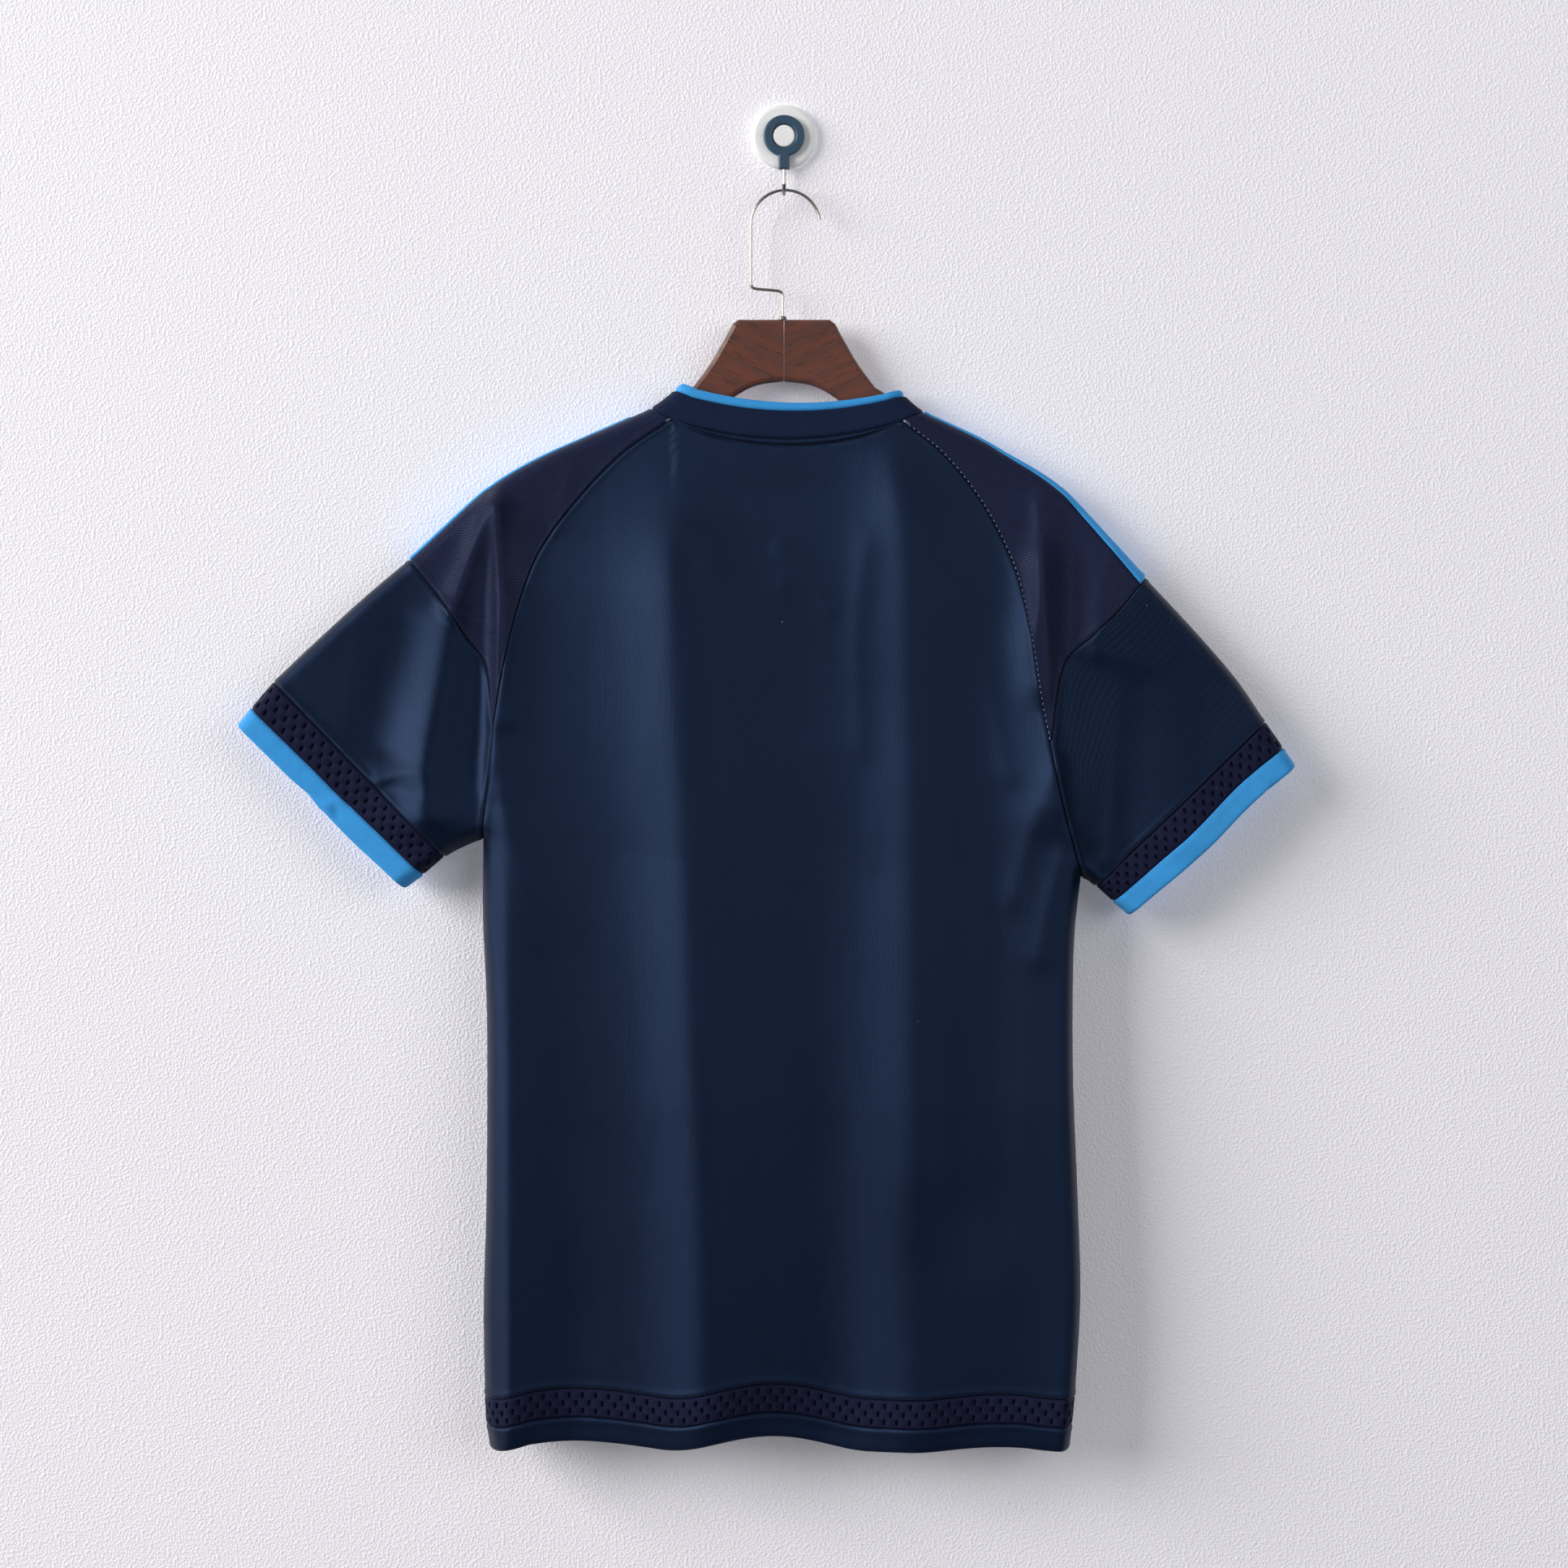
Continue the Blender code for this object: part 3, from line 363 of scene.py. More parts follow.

# %% [markdown]
# The hang of the cloth is listed fold by fold. Each fold is a soft ridge, or a trough where its
# height is below zero, along a line drawn from top to bottom. Cloth that drops off a hanger makes
# ridges with one lazy flank and one steep one, so a fold has a width for each side. A cloth
# simulation would give other folds after every small change, while these stay where they were put.

# %% Folds
FOLDS = (
    # layer, line from top to bottom, widths to its left and right, heights at its top and bottom
    (BACK, ((-79, -285), (-78, -340), (-74, -429), (-68, -516), (-62, -640), (-55, -800), (-53, -960)),
     24, 34, 14, 21),
    (BACK, ((8, -480), (18, -620), (24, -800), (24, -960)), 44, 44, -2, -8),
    (BACK, ((77, -240), (89, -300), (90, -370), (91, -430), (94, -520), (95, -640), (95, -780)),
     19, 24, 10, 3),
    (BACK, ((90, -430), (93, -540), (94, -660), (94, -960)), 30, 28, 3, 15),
    (BACK, ((150, -320), (144, -429), (142, -632), (140, -800)), 22, 26, -4, -4),
    (BACK, ((182, -300), (187, -371), (189, -429), (197, -500)), 12, 9, 7, 6),
    (BACK, ((190, -440), (199, -500), (208, -570), (208, -960)), 24, 9, 3, 10),
    (BACK, ((-200, -420), (-199, -490), (-197, -560), (-195, -700), (-194, -960)), 10, 30, 4, 15),
    (BACK, ((-198, -330), (-199, -380), (-199, -430)), 6, 14, 3, 3),
    (BACK, ((-178, -560), (-166, -690), (-160, -777), (-154, -960)), 22, 26, -1, -4),
    (BACK, ((-206, -264), (-204, -340), (-205, -400), (-208, -470)), 4, 11, 9, 5),
    (BACK, ((-208, -264), (-226, -313), (-239, -350)), 7, 11, 8, 10),
    (BACK, ((-236, -345), (-242, -383), (-249, -418), (-255, -452), (-256, -505)), 16, 17, 8, 12),
    (BACK, ((-262, -350), (-279, -400), (-290, -450)), 20, 18, -1.5, -2.5),
    (BACK, ((-216, -300), (-218, -370), (-219, -430), (-222, -480)), 16, 9, -3, -4),
    (BACK, ((183, -262), (184, -300), (182, -340), (178, -372), (182, -410)), 7, 12, 5, 5),
    (BACK, ((206, -270), (208, -320), (206, -380)), 11, 12, -3, -3),
    (BACK, ((240, -292), (231, -330), (224, -380)), 10, 15, 3, 4),
    (BACK, ((244, -390), (240, -450), (232, -530)), 18, 26, -4, -7),
    (BACK, ((300, -390), (296, -450), (290, -520)), 20, 24, 3, 5),
    (BACK, ((-150, -238), (-158, -262), (-163, -290)), 8, 10, 1.2, 1.2),
    (BACK, ((-8, -300), (18, -322), (34, -352)), 7, 9, 1.4, 0.6),
    (BACK, ((4, -318), (-10, -352), (-14, -400)), 9, 7, 1.3, 0.5),
    (BACK, ((60, -290), (52, -360), (54, -450)), 10, 12, 1.6, 1.2),
    (BACK, ((-70, -300), (-58, -380), (-52, -480)), 10, 12, -1.4, -2.0),
    (BACK, ((128, -330), (146, -400), (160, -470)), 9, 11, 1.8, 1.6),
    (BACK, ((196, -452), (178, -500), (160, -560)), 8, 10, 2.4, 1.0),
    (BACK, ((206, -500), (192, -545), (180, -600)), 8, 9, 2.6, 1.2),
    (BACK, ((-206, -470), (-190, -520), (-176, -590)), 7, 9, 2.0, 0.8),
    (BACK, ((-292, -468), (-272, -462), (-252, -462)), 3, 3, 2.0, 1.0),
    (BACK, ((-300, -478), (-280, -474), (-258, -478)), 5, 5, -1.2, -0.8),
    (BACK, ((-314, -480), (-321, -482), (-330, -486)), 1.6, 3.2, 1.2, 2.0),
    (BACK, ((-322, -484), (-321, -488), (-318, -494)), 1.4, 1.6, -1.6, -2.6),
    (BACK, ((326, -462), (336, -469), (346, -474)), 4, 5, 1.0, 1.8),
    (FRONT, ((-110, -420), (-120, -640), (-125, -960)), 30, 44, 3, 7),
    (FRONT, ((-30, -380), (-32, -640), (-34, -960)), 42, 46, -3, -7),
    (FRONT, ((54, -360), (62, -640), (66, -960)), 44, 28, 4, 8),
    (FRONT, ((140, -440), (150, -640), (152, -960)), 30, 38, -3, -6),
    (FRONT, ((-200, -300), (-206, -380), (-204, -470)), 8, 12, 3, 4),
    (FRONT, ((196, -300), (190, -380), (184, -470)), 12, 9, 3, 4),
    (FRONT, ((-190, -480), (-172, -560), (-160, -660)), 10, 12, 2.4, 1.0),
    (FRONT, ((186, -490), (170, -560), (158, -650)), 12, 10, 2.4, 1.0),
    (FRONT, ((-80, -300), (-40, -320), (0, -326)), 7, 9, 1.6, 1.0),
    (FRONT, ((84, -304), (50, -322), (12, -328)), 9, 7, 1.4, 1.0),
    (FRONT, ((-262, -380), (-276, -430), (-290, -490)), 16, 20, 3, 5),
    (FRONT, ((256, -390), (262, -450), (262, -520)), 16, 20, 3, 5),
)
back_folds = sum(fold[0] == BACK for fold in FOLDS)
print("folds on the back:", back_folds, "on the front:", len(FOLDS) - back_folds)

# %% [markdown]
# How far a fold lifts a point depends on how far off its line the point lies, and on which side. A
# ridge is rounded at its crest and then falls away in a long slack flank, as hanging cloth does, so
# it is an exponential and not a bell. A trough is a soft bell. Both fade out past the ends of their
# line. Only the points near a fold are worked out, which keeps this quick.

# %% The shape of a fold
FOLD_FADE = 0.16
FOLD_REACH = 5.5
CREST_WIDTH, SHARPEST, ROUNDEST = 28.0, 0.3, 0.85


def smooth_step(share):
    held = np.clip(share, 0, 1)
    return held * held * (3 - 2 * held)


def fold_lift(x, z, fold):
    """How far one fold lifts these points, all of them within its reach."""
    _, line, left, right, height_start, height_end = fold
    path = smooth_line(line, 4)
    distances = reached(path)
    best = np.full(len(x), np.inf)
    share, off = np.zeros(len(x)), np.zeros(len(x))
    for k, (start, end) in enumerate(zip(path, path[1:])):
        run = end - start
        length = math.hypot(*run)
        low = -1.0 if k == 0 else 0.0
        high = 2.0 if k == len(path) - 2 else 1.0
        t = np.clip(((x - start[0]) * run[0] + (z - start[1]) * run[1]) / length**2, low, high)
        gap_x, gap_z = x - start[0] - t * run[0], z - start[1] - t * run[1]
        side = (gap_x * -run[1] + gap_z * run[0]) / length
        distance = np.hypot(gap_x, gap_z)
        closer = distance < best
        best[closer] = distance[closer]
        share[closer] = ((distances[k] + t * length) / distances[-1])[closer]
        off[closer] = np.where(side < 0, -distance, distance)[closer]
    height = height_start + (height_end - height_start) * np.clip(share, 0, 1)
    fade = smooth_step(share / FOLD_FADE + 0.5) * smooth_step((1 - share) / FOLD_FADE + 0.5)
    aside = off / np.where(off < 0, left, right)
    rounded = min(max(left / CREST_WIDTH, SHARPEST), ROUNDEST)
    ridge = np.exp(rounded - np.hypot(aside, rounded))
    return height * fade * np.where(height > 0, ridge, np.exp(-(aside**2)))


def fold_height(x, z, layer):
    total = np.zeros_like(x)
    for fold in FOLDS:
        if fold[0] != layer:
            continue
        corners = np.array(fold[1], float)
        room = FOLD_REACH * max(fold[2], fold[3])
        low, high = corners.min(0) - room, corners.max(0) + room
        near = (x > low[0]) & (x < high[0]) & (z > low[1]) & (z < high[1])
        if near.any():
            total[near] += fold_lift(x[near], z[near], fold)
    return total


crest = fold_height(np.array([-68.0]), np.array([-516.0]), BACK)[0]
print(f"the main fold lifts the back by {crest:.1f} mm")

# %% [markdown]
# One function puts any plan point on the back or the front layer and says which way the cloth faces
# there. All pieces use it, so neighbours meet at their seams without being fitted to each other.
# The direction comes from the slopes of the folds and from the rounding at the edges, which is
# exact where two layers meet.

# %% Plan to cloth
def section(z):
    levels = np.array(SECTIONS, float)[::-1]
    return np.interp(z, levels[:, 0], levels[:, 1]), np.interp(z, levels[:, 0], levels[:, 2])


def reach_of(x, z, layer):
    return section(z)[1] + fold_height(x, z, layer)


def place(plan, layer):
    """Points and outward directions, in millimetres, for an array of plan points of any shape."""
    flat = np.asarray(plan, float).reshape(-1, 2)
    x, z = flat[:, 0], flat[:, 1]
    gap, away = nearest_edge(flat)
    level = 1 - np.minimum(gap / EDGE_ROUND, 1)
    rise = np.sqrt(1 - level**2)
    reach = reach_of(x, z, layer)
    slope_x = reach_of(x + 1, z, layer) - reach
    slope_z = reach_of(x, z + 1, layer) - reach
    lean = section(z + 1)[0] - section(z)[0]
    across = reach * level / EDGE_ROUND
    facing = np.column_stack([
        -(slope_x * rise**2 + across * away[:, 0]),
        layer * rise,
        -(slope_z * rise**2 + across * away[:, 1]) - layer * lean * rise,
    ])
    facing /= np.linalg.norm(facing, axis=1)[:, None]
    points = np.column_stack([x, section(z)[0] + layer * reach * rise, z])
    shape = np.asarray(plan).shape[:-1] + (3,)
    return points.reshape(shape), facing.reshape(shape)


print("a point of the back, in mm:", place([(0.0, -500.0)], BACK)[0].round(1))

# %% [markdown]
# Every piece of cloth starts as a grid of plan points between four border lines, blended so that it
# meets all of them (a Coons patch). Rows and columns are packed close together beside seams and
# folded edges, where the cloth curves tightly, and lie a few millimetres apart elsewhere.

# %% Plan grids
EDGE_STEPS = (0, 0.4, 1.0, 1.9, 3.2, 5.0, 7.2, 9.6, 12.2, 15.0)
CLOTH_STEP = 3.8


def shares_for(length, spacing=CLOTH_STEP, start=EDGE_STEPS, end=EDGE_STEPS):
    """Shares of a length, with the given small steps at either end and an even spacing between."""
    first, last = np.array(start, float), length - np.array(end, float)[::-1]
    steps = max(1, round((last[0] - first[-1]) / spacing))
    return np.concatenate([first[:-1], np.linspace(first[-1], last[0], steps + 1), last[1:]]) / length


def ruled(first, last, shares):
    return first + (last - first) * np.asarray(shares)[:, None, None]


def blended(first_row, last_row, first_side, last_side, row_shares, column_shares):
    v, u = np.asarray(row_shares)[:, None, None], np.asarray(column_shares)[None, :, None]
    between_rows = (1 - v) * first_row[None] + v * last_row[None]
    between_sides = (1 - u) * first_side[:, None] + u * last_side[:, None]
    first_ends = (1 - u) * first_row[0] + u * first_row[-1]
    last_ends = (1 - u) * last_row[0] + u * last_row[-1]
    corners = (1 - v) * first_ends + v * last_ends
    return between_rows + between_sides - corners


def line_between(start, end, shares):
    start, end = np.array(start, float), np.array(end, float)
    return start + (end - start) * np.asarray(shares)[:, None]


print("columns across the back:", len(shares_for(426)))

# %% [markdown]
# Every piece is a mesh made from arrays of points, with a UV map in metres that runs along its rows
# and down its columns, because a knit pattern has to keep its size wherever the cloth bends. On a
# tube the map is cut where the grid closes. Each mesh rides on the one body of the CAD model as
# soon as it is made.

# %% Maps and meshes
MM = 0.001


def grid_map(points, closed=False):
    looped = np.concatenate([points, points[:, :1]], axis=1) if closed else points
    across = np.linalg.norm(np.diff(looped, axis=1), axis=2)
    u = np.concatenate([np.zeros((len(points), 1)), np.cumsum(across, axis=1)], axis=1)
    middle = u.shape[1] // 2
    down = reached(looped[:, middle])
    return np.dstack([u - u[:, middle:middle + 1], np.repeat(-down[:, None], u.shape[1], axis=1)]) * MM


def hanging_map(points):
    """For a panel whose knit runs straight down: V is the height itself."""
    mapped = grid_map(points)
    mapped[:, :, 1] = points[:, :, 2] * MM
    return mapped


def build_mesh(name, vertices, faces, face_maps, finish):
    """A smooth closed mesh from points in millimetres, with one UV per corner of each face."""
    mesh = bpy.data.meshes.new(name)
    mesh.from_pydata((np.asarray(vertices) * MM).tolist(), [], faces)
    layer = mesh.uv_layers.new(name="cloth")
    layer.data.foreach_set("uv", np.concatenate([np.asarray(m, float).ravel() for m in face_maps]))
    work = bmesh.new()
    work.from_mesh(mesh)
    bmesh.ops.recalc_face_normals(work, faces=work.faces)
    work.to_mesh(mesh)
    work.free()
    mesh.shade_smooth()
    mesh.materials.append(finish)
    piece = bpy.data.objects.new(name, mesh)
    bpy.context.scene.collection.objects.link(piece)
    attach(piece, "root")
    return piece


def cloth_area(piece):
    """Square metres of one face of the cloth."""
    areas = np.zeros(len(piece.data.polygons))
    piece.data.polygons.foreach_get("area", areas)
    return areas.sum() / 2


corner = np.array([[[0.0, 0.0, 0.0], [30.0, 0.0, 0.0]], [[0.0, 0.0, -20.0], [30.0, 0.0, -20.0]]])
print("the map of a piece of 30 by 20 mm, in metres:", grid_map(corner).reshape(-1, 2).tolist())

# %% [markdown]
# Knit is about a millimetre thick, so each piece is a closed shell: the grid of points, the same
# grid a little further in, and rims that join the two. A solidify modifier could do this too, but
# writing the faces out gives every corner its own place on the map, also where a tube closes.

# %% Cloth shells
KNIT_THICK = 0.9
BAND_THICK = 1.5


def shell(name, points, facings, finish, thick=KNIT_THICK, closed=False, cloth_map=None):
    rows, columns = points.shape[:2]
    count = rows * columns
    mapped = grid_map(points, closed) if cloth_map is None else cloth_map
    spans = columns if closed else columns - 1
    i, j = np.meshgrid(np.arange(rows - 1), np.arange(spans), indexing="ij")
    corner_i = np.stack([i, i, i + 1, i + 1], axis=-1).reshape(-1, 4)
    corner_j = np.stack([j, j + 1, j + 1, j], axis=-1).reshape(-1, 4)
    outer = corner_i * columns + corner_j % columns
    outer_map = mapped[corner_i, corner_j]
    rims, rim_maps = [], []
    borders = [((0, 1), (row, j)) for row in (0, rows - 1) for j in range(spans)]
    if not closed:
        borders += [((1, 0), (i, column)) for column in (0, columns - 1) for i in range(rows - 1)]
    for (step_i, step_j), (i, j) in borders:
        a = i * columns + j
        b = (i + step_i) * columns + (j + step_j) % columns
        rims.append((a, b, b + count, a + count))
        here, there = mapped[i, j], mapped[i + step_i, j + step_j]
        rim_maps.append((here, there, there, here))
    faces = outer.tolist() + (outer[:, ::-1] + count).tolist() + rims
    vertices = np.vstack([points.reshape(-1, 3), (points - facings * thick).reshape(-1, 3)])
    return build_mesh(name, vertices, faces, [outer_map, outer_map[:, ::-1], np.array(rim_maps)], finish)


print("the knit is", KNIT_THICK, "mm thick, a folded band", BAND_THICK, "mm")


# %% Hide the CAD cloth solid and print the piece's size
def declare(piece, node):
    if node:
        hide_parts(node)
    print(f"{piece.name}: {len(piece.data.vertices)} points, {cloth_area(piece):.4f} square metres")


print("slots in the record:", sorted({node.material_slots[0].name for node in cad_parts.values()}))

# %% [markdown]
# A sewn seam is never flat. The cut edges are folded under, which lifts a low ridge beside the
# seam, the seam itself sinks, and the thread gathers the cloth into small puckers that die away
# within a finger's width. All three depend only on how far a point is from the edge of its piece,
# measured along the grid, so one function gives them to every piece.

# %% Seam relief
SEAM_GAP = 0.03
SEAM_GROOVE, GROOVE_HALF = 0.9, 0.8
SEAM_RIDGE, RIDGE_AT, RIDGE_HALF = 0.35, 2.8, 1.9
PUCKER, PUCKER_REACH = 0.16, 9.0
PUCKER_WAVES = ((23.0, 0.6), (13.0, 0.4), (8.5, 0.25))
ROWS, COLUMNS = 0, 1
EDGES = {"first_row": (ROWS, 1), "last_row": (ROWS, -1), "first": (COLUMNS, 1), "last": (COLUMNS, -1)}


def from_edge(points, edge):
    """(distance of each grid point from this edge along the grid, distance along the edge)."""
    axis, step = EDGES[edge]
    grid = np.flip(points, axis) if step < 0 else points
    lengths = np.cumsum(np.linalg.norm(np.diff(grid, axis=axis), axis=2), axis=axis)
    zero = np.zeros_like(lengths[:1] if axis == ROWS else lengths[:, :1])
    distance = np.concatenate([zero, lengths], axis=axis)
    border = grid[0] if axis == ROWS else grid[:, 0]
    run = reached(border)
    along_edge = run[None, :] if axis == ROWS else run[:, None]
    return (np.flip(distance, axis) if step < 0 else distance), along_edge


def sewn(points, facings, seams, open_edges=(), gather=1.0):
    """The grid with its seams drawn apart a little and shaped, and its open edges rounded over."""
    lift = np.zeros(points.shape[:2])
    moved = points.copy()
    for edge in seams:
        distance, run = from_edge(points, edge)
        waves = sum(size * np.sin(2 * math.pi * run / length + length) for length, size in PUCKER_WAVES)
        lift += SEAM_RIDGE * np.exp(-(((distance - RIDGE_AT) / RIDGE_HALF) ** 2))
        lift -= SEAM_GROOVE * np.exp(-((distance / GROOVE_HALF) ** 2))
        lift += PUCKER * gather * waves * np.exp(-distance / PUCKER_REACH) * (1 - np.exp(-distance))
    for edge in open_edges:
        distance, _ = from_edge(points, edge)
        lift -= SEAM_GROOVE * np.exp(-((distance / GROOVE_HALF) ** 2))
    for edge in seams:
        axis, step = EDGES[edge]
        border = (0 if step > 0 else -1) if axis == ROWS else (slice(None), 0 if step > 0 else -1)
        inner = (step if step > 0 else -2) if axis == ROWS else (slice(None), 1 if step > 0 else -2)
        inward = points[inner] - points[border]
        moved[border] += SEAM_GAP / 2 * inward / np.linalg.norm(inward, axis=1)[:, None]
    return moved + facings * lift[:, :, None]


print("cell sizes beside a seam, in mm:", np.diff(EDGE_STEPS).round(1))

# %% [markdown]
# Seen close, smooth sports knit is rows of tiny V-shaped loops: the columns are called wales and
# the rows courses. Two sine waves in the cloth's own map give that relief at its real size, with
# each column's rows slanting to its middle. It is a node group, because four fabrics use it with
# different loop sizes.

# %% Knit group
def knit_group():
    group, given, out = new_group(
        "knit_face",
        {"Map": ("Vector", None), "Wale": ("Float", 0.0007), "Course": ("Float", 0.0005)},
        {"Height": "Float"},
    )
    parts = add_node(group, "ShaderNodeSeparateXYZ", {0: given["Map"]}).outputs
    across = math_node(group, "DIVIDE", parts["X"], given["Wale"])
    wave = math_node(group, "SINE", math_node(group, "MULTIPLY", across, math.pi))
    column = math_node(group, "ABSOLUTE", wave)
    slant = math_node(group, "PINGPONG", across, 0.5)
    course = math_node(group, "ADD", math_node(group, "DIVIDE", parts["Y"], given["Course"]), slant)
    row = math_node(group, "SINE", math_node(group, "MULTIPLY", course, 2 * math.pi))
    height = math_node(group, "MULTIPLY", column, math_node(group, "MULTIPLY_ADD", row, 0.2, 0.8))
    group.links.new(height, out["Height"])
    return group


KNIT = knit_group()
print("group sockets:", [item.name for item in KNIT.interface.items_tree])

# %% [markdown]
# No dyed cloth is one even colour. Slow patches a hand wide come from how it was pressed and
# stored, and finer ones from the yarn. A second group makes faint soft wrinkles, stretched along
# the hang of the cloth, and a third scatters a few pale specks of lint, which dark shirts always
# catch.

# %% Tone, wrinkle and lint groups
def tone_group():
    group, given, out = new_group("cloth_tone", {"Place": ("Vector", None)}, {"Tone": "Float"})
    broad = noise(group, given["Place"], 7.0)
    fine = noise(group, given["Place"], 160.0, 3.0)
    mixed = add_node(group, "ShaderNodeMix", {0: 0.35, 2: broad, 3: fine}).outputs[0]
    group.links.new(between(group, mixed, 0.3, 0.7), out["Tone"])
    return group


def wrinkle_group():
    group, given, out = new_group(
        "soft_wrinkles", {"Place": ("Vector", None), "Size": ("Float", 30.0)}, {"Height": "Float"}
    )
    drawn_out = add_node(group, "ShaderNodeMapping", {"Vector": given["Place"], "Scale": (1.0, 1.0, 0.28)})
    group.links.new(noise(group, drawn_out.outputs[0], given["Size"], 1.5, Distortion=0.6), out["Height"])
    return group


def lint_group():
    group, given, out = new_group("lint_specks", {"Place": ("Vector", None)}, {"Speck": "Float"})
    cells = add_node(group, "ShaderNodeTexVoronoi", {"Vector": given["Place"], "Scale": 42.0})
    near = between(group, cells.outputs["Distance"], 0.014, 0.024, at_low=1.0, at_high=0.0)
    pick = add_node(group, "ShaderNodeSeparateColor", {0: cells.outputs["Color"]}).outputs[0]
    rare = math_node(group, "GREATER_THAN", pick, 0.86)
    group.links.new(math_node(group, "MULTIPLY", near, rare), out["Speck"])
    return group


TONE, WRINKLES, LINT = tone_group(), wrinkle_group(), lint_group()
print("groups so far:", [group.name for group in bpy.data.node_groups])

# %% [markdown]
# The body and sleeves are a smooth satin interlock in navy. Its colour sits in the diffuse base,
# kept very dark, and a mild gloss with broad soft highlights does the rest: that is what draws each
# fold as a pale band. One function makes all the fabrics, so a new one needs only its colours, its
# gloss and the size of its loops.

# %% Knit fabrics
FIBRE_GLINT = (0.27, 0.47, 1.0, 1)
LINT_COLOUR = (0.45, 0.47, 0.55, 1)
WRINKLE_SCALE = 26.0
SHEEN_ROUGHNESS = 0.45


def knit_material(name, dark, light, gloss, wale=0.0007, course=0.0005, relief=0.00007, sheen=0.0,
                  level=0.5, wrinkle=0.0006, lint=0.5):
    finish, tree, shader, given = new_material(name)
    tone = use_group(tree, TONE, {"Place": given["Object"]})["Tone"]
    loops = use_group(tree, KNIT, {"Map": given["UV"], "Wale": wale, "Course": course})["Height"]
    folds = use_group(tree, WRINKLES, {"Place": given["Object"], "Size": WRINKLE_SCALE})["Height"]
    speck = use_group(tree, LINT, {"Place": given["Object"]})["Speck"]
    base = mix_colour(tree, tone, (*dark, 1), (*light, 1))
    # Painted shade: the colour darkens in the hollows between the knit's loops, where the loop height is low.
    shade = mix_colour(tree, scaled(tree, loops, 0.4, 0.0), base, (*(0.45 * c for c in dark), 1))
    fill_inputs(tree, shader, {
        "Base Color": mix_colour(tree, math_node(tree, "MULTIPLY", speck, lint), shade, LINT_COLOUR),
        "Roughness": scaled(tree, tone, gloss - 0.04, gloss + 0.05),
        "Normal": bump(tree, loops, relief, Normal=bump(tree, folds, wrinkle)),
        "Specular IOR Level": level,
        "Specular Tint": FIBRE_GLINT,
        "Sheen Weight": sheen,
        "Sheen Roughness": SHEEN_ROUGHNESS,
        "Sheen Tint": (*(min(1.0, 0.25 + 4 * c) for c in light), 1),
    })
    return finish


SATIN = knit_material("satin_navy", (0.0015, 0.0042, 0.0135), (0.0026, 0.0066, 0.0205), 0.42, level=0.46)
BAND_KNIT = knit_material("band_navy", (0.0100, 0.0100, 0.0290), (0.0135, 0.0140, 0.0390), 0.62,
                          wale=0.0009, course=0.0007, level=0.12)
RIB = knit_material("collar_navy", (0.0110, 0.0185, 0.0480), (0.0150, 0.0245, 0.0620), 0.78,
                    wale=0.0010, course=0.0008, relief=0.0002, level=0.10, wrinkle=0.0004, lint=0.8)
SKY = knit_material("sky_blue", (0.052, 0.375, 0.900), (0.072, 0.455, 0.970), 0.80,
                    wale=0.0011, course=0.0009, relief=0.0003, level=0.25, wrinkle=0.0004, sheen=0.04,
                    lint=0.0)
print("fabrics:", [finish.name for finish in (SATIN, BAND_KNIT, RIB, SKY)])

# %% [markdown]
# The shoulder panels are micro mesh: rows of tiny pinholes, each row set half a step aside, too
# many and too small to cut out. Their place in a cell is worked out from the cloth's map with a
# floor and a fraction, and the distance to the cell's middle says where the hole is. The same mask
# presses the surface in and paints shade into the holes, as a near black in the colour.

# %% Micro mesh fabric
PINHOLE_ACROSS, PINHOLE_DOWN = 0.0021, 0.0013


def pinhole_group():
    group, given, out = new_group(
        "pinholes",
        {"Map": ("Vector", None), "Across": ("Float", PINHOLE_ACROSS), "Down": ("Float", PINHOLE_DOWN)},
        {"Hole": "Float"},
    )
    parts = add_node(group, "ShaderNodeSeparateXYZ", {0: given["Map"]}).outputs
    down = math_node(group, "DIVIDE", parts["Y"], given["Down"])
    stagger = math_node(group, "MULTIPLY", math_node(group, "FLOOR", down), 0.5)
    across = math_node(group, "ADD", math_node(group, "DIVIDE", parts["X"], given["Across"]), stagger)
    off_x = math_node(group, "SUBTRACT", math_node(group, "FRACT", across), 0.5)
    off_row = math_node(group, "SUBTRACT", math_node(group, "FRACT", down), 0.5)
    off_y = math_node(group, "MULTIPLY", off_row, 0.7)
    off = add_node(group, "ShaderNodeCombineXYZ", {0: off_x, 1: off_y}).outputs[0]
    far = add_node(group, "ShaderNodeVectorMath", {0: off}, operation="LENGTH").outputs["Value"]
    group.links.new(between(group, far, 0.16, 0.34, at_low=1.0, at_high=0.0), out["Hole"])
    return group


def micro_mesh_material():
    finish, tree, shader, given = new_material("shoulder_mesh_navy")
    tone = use_group(tree, TONE, {"Place": given["Object"]})["Tone"]
    hole = use_group(tree, PINHOLES, {"Map": given["UV"]})["Hole"]
    folds = use_group(tree, WRINKLES, {"Place": given["Object"], "Size": WRINKLE_SCALE})["Height"]
    base = mix_colour(tree, tone, (0.0112, 0.0150, 0.0450, 1), (0.0160, 0.0205, 0.0610, 1))
    # Painted shade: the holes are not cut, so the dark inside each pinhole is painted into the colour.
    hole_shaded = mix_colour(tree, math_node(tree, "MULTIPLY", hole, 0.72), base, (0.002, 0.002, 0.006, 1))
    fill_inputs(tree, shader, {
        "Base Color": hole_shaded,
        "Roughness": scaled(tree, hole, 0.42, 0.75),
        "Normal": bump(tree, scaled(tree, hole, 1.0, 0.0), 0.0003, Normal=bump(tree, folds, 0.0004)),
        "Specular IOR Level": 0.22,
        "Specular Tint": (0.5, 0.62, 1.0, 1),
    })
    return finish


